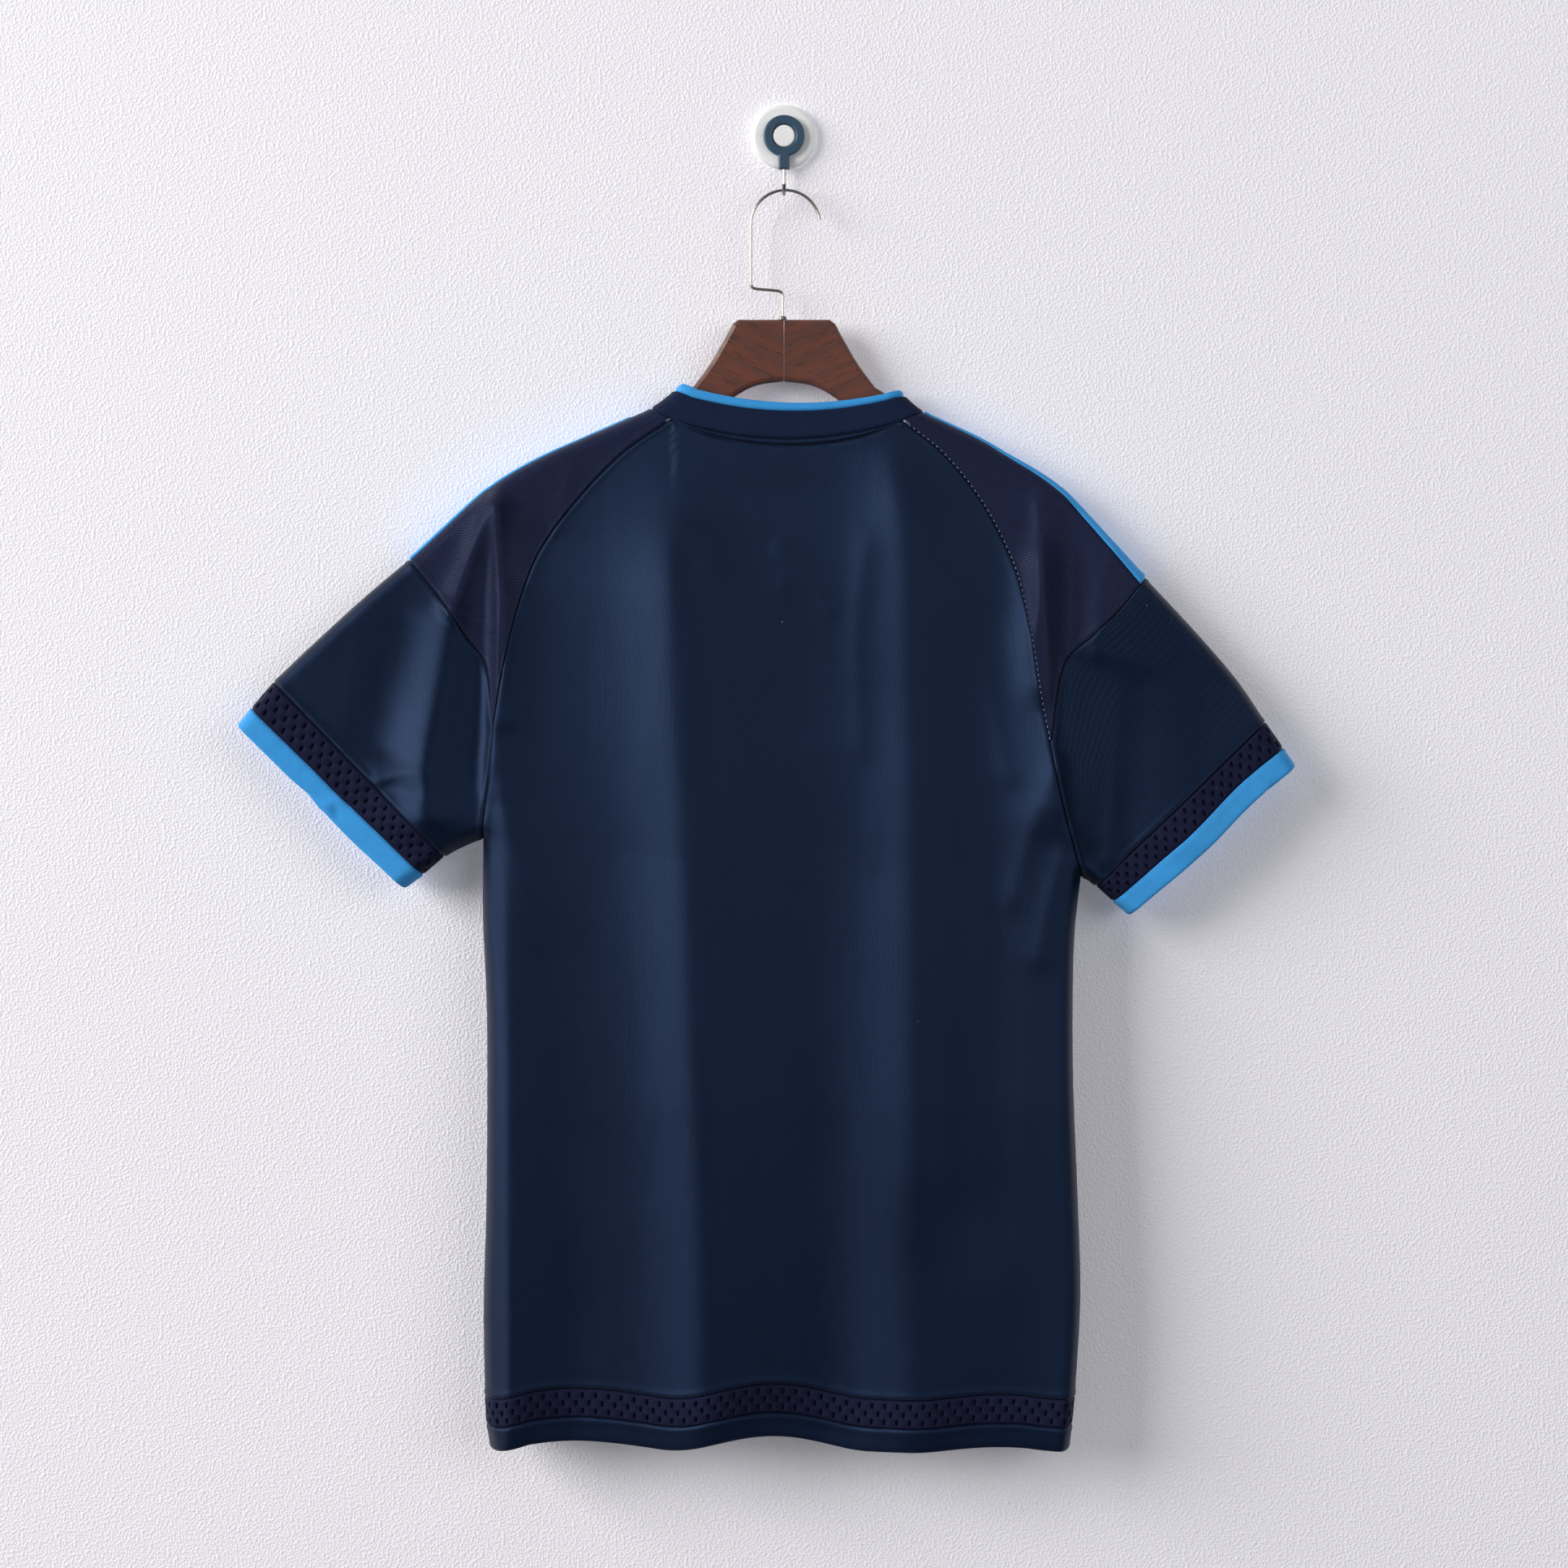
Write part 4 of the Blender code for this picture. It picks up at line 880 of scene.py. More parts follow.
PINHOLES = pinhole_group()
MICRO_MESH = micro_mesh_material()
print("pinholes per square centimetre:", round(0.01 * 0.01 / (PINHOLE_ACROSS * PINHOLE_DOWN)))

# %% [markdown]
# A neck line dips towards its middle, and a hem line lifts where the cloth falls back between two
# folds. Both start from a straight line between the two sides, which a smooth bump then moves up or
# down, so the ends stay on the side seams.

# %% Neck and hem lines
BODY_WIDTH = 426
HEM_LIFTS = (
    # x, half_width, rise
    (-150, 90, 7.0),
    (-14, 74, 11.0),
    (150, 60, 3.0),
)
LEVEL_ENDS = (-208, -180, 172, 202)


def dipped(left, right, shares, drop):
    line = line_between(left, right, shares)
    line[:, 1] -= drop * (1 - (2 * np.asarray(shares) - 1) ** 2)
    return line


def raised(line):
    lifts = [rise * np.maximum(0, 1 - ((line[:, 0] - at) / half) ** 2) ** 2 for at, half, rise in HEM_LIFTS]
    share = np.interp(line[:, 0], LEVEL_ENDS, (0, 1, 1, 0))
    return line + np.column_stack([np.zeros(len(line)), share * sum(lifts)])


hem = raised(line_between(SIDE_SEAM[LEFT][-1], SIDE_SEAM[RIGHT][-1], shares_for(BODY_WIDTH)))
print("the hem seam rises by", (hem[:, 1].max() - SIDE_SEAM[LEFT][-1][1]).round(1), "mm between its folds")

# %% [markdown]
# The back and the front are cut in one piece each from neck to hem, with raglan armholes: their
# sides run down the raglan seam, round the underarm and down the side seam. A tape sewn inside the
# neck lifts a narrow strip of cloth below the neck seam.

# %% Back and front panels
NECK_STEPS = (0, 0.4, 1.0, 1.9, 3.0, 4.2, 5.2, 6.0, 6.6, 7.2, 7.8, 8.6, 10.0, 12.2, 15.0)
STITCH_DROP = 6.0
TAPE_LIFT, TAPE_EDGE = 0.8, 1.2
TAPE_GROOVE, TAPE_GROOVE_HALF = 0.9, 1.0


def panel_side(side):
    """The panel's border from neck to hem, with a point for each row of its grid."""
    seams = ((RAGLAN_SEAM, NECK_STEPS, (0,)), (UNDERARM_SEAM, (0,), (0,)), (SIDE_SEAM, (0,), EDGE_STEPS))
    pieces = []
    for table, start, end in seams:
        typical = (length_of(table, LEFT) + length_of(table, RIGHT)) / 2
        pieces.append(seam(table, side, shares_for(typical, start=start, end=end))[1 if pieces else 0:])
    return np.vstack(pieces)


def panel_plan(layer):
    left, right = panel_side(LEFT), panel_side(RIGHT)
    across = shares_for(BODY_WIDTH)
    neck = dipped(left[0], right[0], across, NECK_DROP[layer])
    hem = raised(line_between(left[-1], right[-1], across))
    down = reached((left + right) / 2)
    return blended(neck, hem, left, right, down / down[-1], across)


def tape_width(run):
    """How far below the neck seam the tape's stitches lie, for distances along that seam."""
    return STITCH_DROP * (1 - (2 * run / run.max() - 1) ** 4)


def neck_tape_lift(points):
    """The tape sewn inside the neck lifts the cloth between the seam and its row of topstitching."""
    distance, run = from_edge(points, "first_row")
    past = distance - tape_width(run)
    lift = TAPE_LIFT * (1 - smooth_step(past / TAPE_EDGE + 0.5))
    return lift - TAPE_GROOVE * np.exp(-((past / TAPE_GROOVE_HALF) ** 2))


panels = {}
for name, layer in (("back_panel", BACK), ("front_panel", FRONT)):
    points, facings = place(panel_plan(layer), layer)
    points = sewn(points, facings, ("first_row", "last_row", "first", "last"))
    points = points + facings * neck_tape_lift(points)[:, :, None]
    panels[layer] = (points, facings)
    piece = shell(f"{name}_cloth", points, facings, SATIN, cloth_map=hanging_map(points))
    declare(piece, name)

# %% [markdown]
# Each shoulder panel is a saddle of mesh from the front raglan seam over the shoulder line to the
# back one, and it is what hangs on the hanger. Its plan is made once and placed on both layers,
# joined along the folded shoulder line. The sky blue strip lies on it, a thin sewn-on tape that
# just shows over the shoulder from behind.

# %% Shoulders and their strips
STRIP_THICK, STRIP_LIFT = 0.6, 0.35
STRIP_BACK = {LEFT: 1.6, RIGHT: 7.0}
STRIP_FRONT = 44.0
STRIP_STEPS, STRIP_CROWDING = 12, 1.4


def shoulder_plan(side, column_shares):
    """Rows from neck to sleeve, and columns from the shoulder line to the raglan seam."""
    rows = shares_for(length_of(RAGLAN_SEAM, side))
    neck_end = line_between(SHOULDER_LINE[side][0], RAGLAN_SEAM[side][0], column_shares)
    return blended(neck_end, seam(SLEEVE_SEAM, side, column_shares), seam(SHOULDER_LINE, side, rows),
                   seam(RAGLAN_SEAM, side, rows), rows, column_shares)


def saddle(back_plan, front_plan):
    """One grid over the shoulder line: the back layer up to it, then the front layer down from it."""
    back = place(back_plan[:, ::-1], BACK)
    front = place(front_plan[:, 1:], FRONT)
    return [np.concatenate(pair, axis=1) for pair in zip(back, front)]


shoulders = {}
for side in SIDES:
    seam_length = length_of(SLEEVE_SEAM, side)
    plan = shoulder_plan(side, shares_for(seam_length))
    points, facings = saddle(plan, plan)
    points = sewn(points, facings, ("first_row", "last_row", "first", "last"))
    shoulders[side] = (points, facings)
    piece = shell(f"shoulder_mesh_{side}", points, facings, MICRO_MESH)
    declare(piece, f"shoulder_panel_{side}")
    strip_plans = []
    for width in (STRIP_BACK[side], STRIP_FRONT):
        edge = np.linspace(0, 1, STRIP_STEPS) ** STRIP_CROWDING * width / seam_length
        strip_plans.append(shoulder_plan(side, [*edge, 1.0])[:, :-1])
    points, facings = saddle(*strip_plans)
    points = sewn(points, facings, ("first_row", "last_row"), ("first", "last"), gather=0.4)
    points = points + facings * (STRIP_LIFT + STRIP_THICK)
    piece = shell(f"strip_{side}", points, facings, SKY, thick=STRIP_THICK)
    declare(piece, f"shoulder_strip_{side}")

# %% [markdown]
# A sleeve is a short tube from the armhole to its eyelet band. Its grid goes once round, over the
# back and back again over the front, so it is placed as one half plan on both layers, and the grid
# closes on itself.

# %% Sleeves
def round_tube(back_plan, front_plan):
    """A closed grid that goes over the back layer and returns over the front one."""
    back = place(back_plan, BACK)
    front = place(front_plan[:, -2:0:-1], FRONT)
    return [np.concatenate(pair, axis=1) for pair in zip(back, front)]


def armhole(side):
    upper = seam(SLEEVE_SEAM, side, shares_for(length_of(SLEEVE_SEAM, side), end=(0,)))
    lower = seam(UNDERARM_SEAM, side, shares_for(length_of(UNDERARM_SEAM, side), start=(0,)))
    line = np.vstack([upper, lower[1:]])
    return line, reached(line) / reached(line)[-1]


def sleeve_plan(side):
    hole, across = armhole(side)
    down = shares_for(length_of(SLEEVE_TOP, side))
    band = line_between(SLEEVE_TOP[side][-1], SLEEVE_UNDER[side][-1], across)
    return blended(hole, band, seam(SLEEVE_TOP, side, down), seam(SLEEVE_UNDER, side, down), down, across)


sleeves = {}
for side in SIDES:
    plan = sleeve_plan(side)
    points, facings = round_tube(plan, plan)
    points = sewn(points, facings, ("first_row", "last_row"))
    sleeves[side] = (points, facings)
    piece = shell(f"sleeve_{side}_cloth", points, facings, SATIN, closed=True)
    declare(piece, f"sleeve_{side}")

# %% [markdown]
# The bands above the hem and the cuffs are eyelet knit, with oval holes about 4 mm long, every row
# set half a step aside. They are large enough to see what lies behind them, so they are cut in the
# mesh. The band is laid out flat in strips of cells, a cell is twelve points round an oval hole,
# and then each flat point is put on the hanging cloth. Measuring along the cloth, and not across
# the view, keeps the holes even in the folds.

# %% Eyelet cells
EYELET_PITCH = 9.3
EYELET_HALF_WIDE, EYELET_HALF_TALL = 1.15, 2.1
EYELET_ROWS = 3
EYELET_RIM, RIM_TALLER = 0.4, 0.3
RIM_LIFT, HOLE_SINK = 0.05, 0.22
EYELET_MARGIN = 1.7
CELL_RING = ((0, 0), (0, 1), (0, 2), (0, 3), (0, 4), (1, 4), (2, 4), (2, 3), (2, 2), (2, 1), (2, 0), (1, 0))
RING_ANGLES = np.radians([150, 120, 90, 60, 30, 0, -30, -60, -90, -120, -150, -180])


class EyeletSheet:
    """A strip of eyelet knit laid out flat: s runs along the band and t across it, both in millimetres."""

    def __init__(self, length, height, closed):
        self.cells = round(length / EYELET_PITCH)
        self.columns = 4 * self.cells
        self.closed = closed
        self.length = length
        self.s = np.linspace(0, length, self.columns + 1)
        rows = np.linspace(EYELET_MARGIN, height - EYELET_MARGIN, 2 * EYELET_ROWS + 1)
        self.t = np.concatenate([[0], rows, [height]])
        self.flat, self.lift_out, self.lift_in = [], [], []
        self.faces = []
        self.corners = {}

    def point(self, s, t, lift_out=0.0, lift_in=0.0):
        self.flat.append((s % self.length if self.closed else s, t))
        self.lift_out.append(lift_out)
        self.lift_in.append(lift_in)
        return len(self.flat) - 1, s, t

    def corner(self, row, column):
        index = column % self.columns if self.closed else column
        if (row, index) not in self.corners:
            self.corners[row, index] = self.point(self.s[index], self.t[row])[0]
        s = self.s[column] if column <= self.columns else column * self.s[1]
        return self.corners[row, index], s, self.t[row]

    def ring(self, middle, wide, tall, slant, **lifts):
        made = []
        for angle in RING_ANGLES:
            s, t = wide * math.cos(angle), -tall * math.sin(angle)
            made.append(self.point(middle[0] + s + slant * t, middle[1] + t, **lifts))
        return made

    def bridge(self, outer, inner):
        for k in range(len(outer)):
            n = (k + 1) % len(outer)
            self.faces.append((outer[k], outer[n], inner[n], inner[k]))

    def cut(self, slant):
        """Fills the strip with cells, or plain quads where none fits. Returns the holes' inner rings."""
        taken, holes = set(), []
        for row in range(EYELET_ROWS):
            for cell in range(self.cells):
                start = 4 * cell + 2 * (row % 2)
                if start + 4 > self.columns and not self.closed:
                    continue
                border = [self.corner(1 + 2 * row + i, start + j) for i, j in CELL_RING]
                middle = ((start + 2) * self.s[1], self.t[2 + 2 * row])
                wide, tall = EYELET_HALF_WIDE, EYELET_HALF_TALL
                rim = self.ring(middle, wide + EYELET_RIM, tall + RIM_TALLER, slant, lift_out=RIM_LIFT)
                hole = self.ring(middle, wide, tall, slant, lift_out=-HOLE_SINK, lift_in=HOLE_SINK)
                self.bridge(border, rim)
                self.bridge(rim, hole)
                holes.append(hole)
                for i in (1, 2):
                    taken.update((2 * row + i, (start + j) % self.columns) for j in range(4))
        for i in range(len(self.t) - 1):
            for j in range(self.columns):
                if (i, j) not in taken:
                    quad = ((i, j), (i, j + 1), (i + 1, j + 1), (i + 1, j))
                    self.faces.append(tuple(self.corner(row, column) for row, column in quad))
        return holes


print("eyelets in a metre of band:", round(1000 / EYELET_PITCH) * EYELET_ROWS)

# %% [markdown]
# To hang the flat strip, the band's length along the cloth is measured first, by walking round it
# in many small steps. Any distance along it can then be turned back into a place on the plan, and
# the placing function does the rest.

# %% Walk along a band
WALK_STEPS = 240


class Band:
    """A band between two plan lines, once across one layer or all round both."""

    def __init__(self, top, bottom, layers):
        self.top, self.bottom, self.layers = top, bottom, layers
        turn = 0.5 - 0.5 * np.cos(np.linspace(0, math.pi, WALK_STEPS))
        self.walk = np.concatenate([turn if k == 0 else k + turn[1:] for k in range(len(layers))])
        points, _ = self.at(self.walk, np.full(len(self.walk), 0.5))
        self.distances = reached(points)
        self.length = self.distances[-1]
        self.height = np.linalg.norm(self.plan(np.array([0.5]), 0.0) - self.plan(np.array([0.5]), 1.0))

    def plan(self, u, v):
        v = np.reshape(v, (-1, 1))
        return (1 - v) * self.top(u) + v * self.bottom(u)

    def at(self, turned, v):
        """Points where turned is 0 to 1 on the first layer, and 1 to 2 on the way back on the second."""
        u = np.where(turned > 1, 2 - turned, turned)
        plan = self.plan(u, v)
        points, facings = place(plan, self.layers[0])
        if len(self.layers) > 1:
            behind = turned > 1
            points[behind], facings[behind] = place(plan[behind], self.layers[1])
        return points, facings


def straight(start, end):
    return lambda u: line_between(start, end, u)


def lifted(start, end):
    return lambda u: raised(line_between(start, end, u))


hem_lines = [straight(ends[LEFT], ends[RIGHT]) for ends in (HEM_MESH_END, HEM_END)]
print("along the cloth the hem is", round(Band(*hem_lines, (BACK,)).length), "mm long")

# %% [markdown]
# Each flat point goes to its place on the hanging cloth, and a second face lies one thickness
# behind it. Walls are added last: the holes' edges join the two faces of the knit, and so do the
# strip's own edges. A boolean cut would leave ragged faces in the folds, while this keeps even
# quads round every hole.

# %% Hang an eyelet band
def hang_eyelets(name, band, finish, slant=0.0, thick=1.0):
    closed = len(band.layers) > 1
    sheet = EyeletSheet(band.length, band.height, closed)
    holes = sheet.cut(slant)
    flat = np.array(sheet.flat)
    points, facings = band.at(np.interp(flat[:, 0], band.distances, band.walk), flat[:, 1] / band.height)
    beside = np.minimum(flat[:, 1], band.height - flat[:, 1])
    lift_out = np.array(sheet.lift_out) - SEAM_GROOVE * np.exp(-((beside / GROOVE_HALF) ** 2))
    outer = points + facings * lift_out[:, None]
    inner = points + facings * (np.array(sheet.lift_in) - thick)[:, None]
    count = len(outer)
    faces, maps = [], []

    def add(corners):
        faces.append([index for index, _, _ in corners])
        maps.append([(s * MM, -t * MM) for _, s, t in corners])

    def under(corners):
        return [(index + count, s, t) for index, s, t in corners]

    def join(line):
        for here, there in zip(line, line[1:]):
            add([here, there, *under([there, here])])

    for face in sheet.faces:
        add(face)
        add(under(face[::-1]))
    for hole in holes:
        join(hole + hole[:1])
    last = len(sheet.t) - 1
    for row in (0, last):
        join([sheet.corner(row, column) for column in range(sheet.columns + 1)])
    if not closed:
        for column in (0, sheet.columns):
            join([sheet.corner(row, column) for row in range(last + 1)])
    print(name, len(holes), "holes", f"{band.length:.0f} x {band.height:.0f} mm")
    return build_mesh(name, np.vstack([outer, inner]), faces, maps, finish)

# %% [markdown]
# Behind the eyelets lies a plain layer of the same knit, so what shows through a hole is dark cloth
# and not the wall. The hem has one band on the back and one on the front, whose upper and lower
# lines both follow the raised hem line.

# %% Eyelet bands at the hem
BACKING_DEPTH, BACKING_STEP, BACKING_THICK = 1.7, 3.2, 0.5
BACKING_ROWS = np.linspace(0.04, 0.96, 7)


def back_with_cloth(name, band):
    """The plain layer under the eyelets, which shows through them."""
    closed = len(band.layers) > 1
    columns = round(band.length / BACKING_STEP)
    turned = np.interp(np.linspace(0, band.length, columns + 1), band.distances, band.walk)
    turned = turned[:-1] if closed else turned
    rows = [band.at(turned, np.full(len(turned), share)) for share in BACKING_ROWS]
    points, facings = (np.stack(values) for values in zip(*rows))
    sunk = points - facings * BACKING_DEPTH
    piece = shell(name, sunk, facings, BAND_KNIT, thick=BACKING_THICK, closed=closed)
    declare(piece, None)


for name, layer in (("back", BACK), ("front", FRONT)):
    top = lifted(*(SIDE_SEAM[side][-1] for side in SIDES))
    band = Band(top, lifted(*(HEM_MESH_END[side] for side in SIDES)), (layer,))
    piece = hang_eyelets(f"hem_eyelets_{name}", band, BAND_KNIT)
    declare(piece, f"hem_mesh_{name}")
    back_with_cloth(f"hem_backing_{name}", band)

# %% [markdown]
# On the sleeves the same knit goes all round. The plain hem band below the eyelets is the body's
# satin again, folded double, and the cuff is a folded band of sky blue knit. Cuffs catch the light
# on small dents and swells where they were pressed, so their lower line wavers a little.

# %% Sleeve eyelets, hem band and cuffs
SLEEVE_SLANT = 0.12
FOLDED_HEIGHT, FOLDED_STEP = 17, 2.6
FOLDED_STEPS = (0, 0.4, 1.0, 2.0)
SEAM_STEPS = (*FOLDED_STEPS, 3.2)
HEM_STEP = 3.0
CUFF_WAVES = {
    # share of the way from top to bottom, half width, swell outward at the seam, and at the edge
    LEFT: ((0.44, 0.06, 0.0, -1.4), (0.49, 0.05, 0.5, 0.8), (0.70, 0.14, 0.0, 1.0)),
    RIGHT: ((0.24, 0.20, -2.6, -2.0), (0.62, 0.22, 0.8, 1.6)),
}


def waved(ends, side, which):
    """A line from the upper to the lower end, with the cuff's waves across it."""
    start, end = np.array(ends, float)
    run = (end - start) / np.linalg.norm(end - start)
    outward = np.array([run[1], -run[0]]) * (1 if side == LEFT else -1)

    def line(u):
        swell = sum(wave[which] * np.exp(-(((u - wave[0]) / wave[1]) ** 2)) for wave in CUFF_WAVES[side])
        return line_between(start, end, u) + np.reshape(swell, (-1, 1)) * outward

    return line


cuffs = {}
for side in SIDES:
    seam_line = waved(SLEEVE_MESH_END[side], side, 2)
    top = straight(SLEEVE_TOP[side][-1], SLEEVE_UNDER[side][-1])
    band = Band(top, seam_line, (BACK, FRONT))
    piece = hang_eyelets(f"sleeve_eyelets_{side}", band, BAND_KNIT, slant=SLEEVE_SLANT)
    declare(piece, f"sleeve_mesh_{side}")
    back_with_cloth(f"sleeve_backing_{side}", band)
    _, across = armhole(side)
    down = shares_for(FOLDED_HEIGHT, FOLDED_STEP, start=FOLDED_STEPS, end=FOLDED_STEPS)
    edge_line = waved(CUFF_END[side], side, 3)
    plan = ruled(seam_line(across), edge_line(across), down)
    points, facings = round_tube(plan, plan)
    points = sewn(points, facings, ("first_row",), ("last_row",), gather=2.0)
    cuffs[side] = (points, facings)
    piece = shell(f"cuff_{side}_cloth", points, facings, SKY, thick=BAND_THICK, closed=True)
    declare(piece, f"cuff_{side}")

for name, layer in (("back", BACK), ("front", FRONT)):
    across = shares_for(BODY_WIDTH, HEM_STEP)
    down = shares_for(FOLDED_HEIGHT, FOLDED_STEP, start=SEAM_STEPS, end=FOLDED_STEPS)
    lines = [raised(line_between(ends[LEFT], ends[RIGHT], across)) for ends in (HEM_MESH_END, HEM_END)]
    points, facings = place(ruled(*lines, down), layer)
    points = sewn(points, facings, ("first_row", "first", "last"), ("last_row",), gather=1.5)
    piece = shell(f"hem_{name}", points, facings, SATIN, thick=BAND_THICK, cloth_map=hanging_map(points))
    declare(piece, f"hem_band_{name}")

# %% [markdown]
# The collar is a standing band of fine rib with a sky blue binding rolled over its top edge. Both
# go round the neck as closed grids between lines that hang alike: a line above the neck seam
# follows it, with its own drop at the middle of the back and of the front.

# %% Collar and binding
NECK_ROUND_STEPS = (0, 0.3, 0.8, 1.6, 2.6, 4.0, 5.6, 7.5, 9.8, 12.4)
NECK_WIDTH, NECK_STEP = 166, 3.2
COLLAR_HEIGHT, COLLAR_STEP = 19, 2.4
BINDING_SWELL, BINDING_SINK, BINDING_THICK, BINDING_ROWS = 0.5, 0.3, 1.6, 7


def neck_seam(layer):
    sides = []
    for side in SIDES:
        end_length = math.dist(SHOULDER_LINE[side][0], RAGLAN_SEAM[side][0])
        shares = [*(np.array(NECK_ROUND_STEPS) / end_length), 1.0]
        sides.append(line_between(SHOULDER_LINE[side][0], RAGLAN_SEAM[side][0], shares))
    left, right = sides
    across = shares_for(NECK_WIDTH, NECK_STEP, start=(0,), end=(0,))
    middle = dipped(left[-1], right[-1], across, NECK_DROP[layer])
    return np.vstack([left[:-1], middle, right[-2::-1]])


def above_neck(seam_line, ends, drop):
    across = (seam_line[:, 0] - seam_line[0, 0]) / (seam_line[-1, 0] - seam_line[0, 0])
    chord = line_between(seam_line[0], seam_line[-1], across)
    hang = (chord[:, 1] - seam_line[:, 1]) / (chord[:, 1] - seam_line[:, 1]).max()
    level = line_between(ends[LEFT], ends[RIGHT], across)
    level[:, 1] -= drop * hang
    return level


def neck_ring(upper, lower, down):
    """A closed grid between two lines, each given for the back and the front."""
    return round_tube(*(ruled(upper[layer], lower[layer], down) for layer in (BACK, FRONT)))


seams = {layer: neck_seam(layer) for layer in (BACK, FRONT)}
tops = {layer: above_neck(seams[layer], COLLAR_TOP, COLLAR_DROP[layer]) for layer in seams}
edges = {layer: above_neck(seams[layer], TRIM_TOP, TRIM_DROP[layer]) for layer in seams}

down = shares_for(COLLAR_HEIGHT, COLLAR_STEP, start=FOLDED_STEPS, end=SEAM_STEPS)
points, facings = neck_ring(tops, seams, down)
points = sewn(points, facings, ("first_row", "last_row"), gather=0.8)
collar = shell("collar_cloth", points, facings, RIB, thick=BAND_THICK, closed=True)
declare(collar, "collar")

down = np.linspace(0, 1, BINDING_ROWS)
points, facings = neck_ring(edges, tops, down)
roll = BINDING_SWELL * np.sqrt(np.maximum(0, 1 - (2 * down - 1) ** 2)) - BINDING_SINK
points = sewn(points, facings, ("last_row",), gather=0.5) + facings * roll[:, None, None]
binding = shell("collar_binding", points, facings, SKY, thick=BINDING_THICK, closed=True)
declare(binding, "collar_trim")

# %% [markdown]
# Stitches are the smallest things a sewn part shows, and they give away its size at once. Each one
# is a short arched tube of twisted thread whose ends dive into the cloth. The rows are read off the
# finished grids at a set distance from an edge, so they follow every pucker. All rows of one colour
# are one piece.

# %% Rows of stitches
STITCH, STITCH_SPACE, THREAD = 2.2, 0.8, 0.40
STITCH_SHARES = np.array([0, 0.14, 0.5, 0.86, 1])
STITCH_ARCH = np.array([-0.30, 0.04, 0.12, 0.04, -0.30])
THREAD_SIDES = 6


def beside(grid, edge, offset):
    """The line on a piece of cloth this far from one of its edges, and the way the cloth faces."""
    points, facings = grid
    axis, step = EDGES[edge]
    distance, _ = from_edge(points, edge)
    values = np.concatenate([points, facings], axis=2)
    if axis == ROWS:
        distance, values = distance.T, values.transpose(1, 0, 2)
    distance, values = distance[:, ::step], values[:, ::step]
    offsets = np.broadcast_to(offset, len(distance))
    picked = np.vstack([read_off(*column) for column in zip(values, distance, offsets)])
    return picked[:, :3], picked[:, 3:]


def sampled(line, facing, at):
    return [read_off(values, reached(line), at) for values in (line, facing)]


def thread_rows(name, rows, finish, stitch=STITCH, space=STITCH_SPACE):
    angles = np.arange(THREAD_SIDES)[None, :, None] * 2 * math.pi / THREAD_SIDES
    cosines, sines = np.cos(angles), np.sin(angles)
    vertices, faces, maps = [], [], []
    for line, facing in rows:
        for start in np.arange(space / 2, reached(line)[-1] - stitch, stitch + space):
            centres, out = sampled(line, facing, start + stitch * STITCH_SHARES)
            centres = centres + out * STITCH_ARCH[:, None]
            run = centres[-1] - centres[0]
            side = np.cross(run / np.linalg.norm(run), out)
            round_it = cosines * side[:, None] + sines * out[:, None]
            first = len(vertices)
            vertices.extend((centres[:, None] + THREAD / 2 * round_it).reshape(-1, 3))
            reach = (start + stitch * STITCH_SHARES) * MM
            for ring, (low, high) in enumerate(zip(reach, reach[1:])):
                at = first + ring * THREAD_SIDES
                for k in range(THREAD_SIDES):
                    a, b = at + k, at + (k + 1) % THREAD_SIDES
                    faces.append((a, b, b + THREAD_SIDES, a + THREAD_SIDES))
                    left, right = k * THREAD * MM / 2, (k + 1) * THREAD * MM / 2
                    maps.append([(low, left), (low, right), (high, right), (high, left)])
    piece = build_mesh(name, vertices, faces, maps, finish)
    print(name, len(rows), "rows,", len(faces) // (THREAD_SIDES * (len(STITCH_SHARES) - 1)), "stitches")
    return piece


print("stitches in 100 mm:", round(100 / (STITCH + STITCH_SPACE)))

# %% [markdown]
# Sewing thread is two or three plies twisted together, which shows as slanted light and dark
# stretches under the lamps. A zigzag along the sum of the two map directions slants in the same way
# and paints that shade and light into the colour, as well as bumping the surface. The threads differ
# only in their colours: dark on the body, blue on the cuffs, and a pale one for the few stitches
# that are meant to hold and not to hide, each as a painted shaded and a painted lit tone.

# %% Thread
PLIES_IN_A_METRE = 2600.0


def thread_material(name, dark, light):
    """Twisted polyester: painted shade and light along slanted plies, with a bump and a dull gloss."""
    finish, tree, shader, given = new_material(name)
    parts = add_node(tree, "ShaderNodeSeparateXYZ", {0: given["UV"]}).outputs
    slanted = math_node(tree, "ADD", parts["X"], parts["Y"])
    # Painted shade and light: the plies' twist darkens and lightens the thread's one colour in slanted
    # stretches.
    ply_twist_shade = math_node(tree, "PINGPONG", math_node(tree, "MULTIPLY", slanted, PLIES_IN_A_METRE), 1.0)
    fill_inputs(tree, shader, {
        "Base Color": mix_colour(tree, ply_twist_shade, (*dark, 1), (*light, 1)),
        "Roughness": scaled(tree, noise(tree, given["Object"], 2500.0), 0.5, 0.7),
        "Normal": bump(tree, ply_twist_shade, 0.00006),
    })
    return finish


DARK_THREAD = thread_material("dark_thread", (0.0025, 0.0035, 0.0090), (0.0065, 0.0090, 0.0200))
PALE_THREAD = thread_material("pale_thread", (0.42, 0.42, 0.50), (0.78, 0.77, 0.84))
SKY_THREAD = thread_material("sky_thread", (0.035, 0.16, 0.44), (0.060, 0.27, 0.66))
print("threads:", [finish.name for finish in (DARK_THREAD, PALE_THREAD, SKY_THREAD)])

# %% [markdown]
# Dark rows hold the tape under the neck seam, the sleeves' armhole seams and the seams over the
# eyelet bands. The right raglan seam was closed in a pale thread that shows between the two cloths,
# and a short pale zigzag, a bar tack, locks each end of the neck tape.

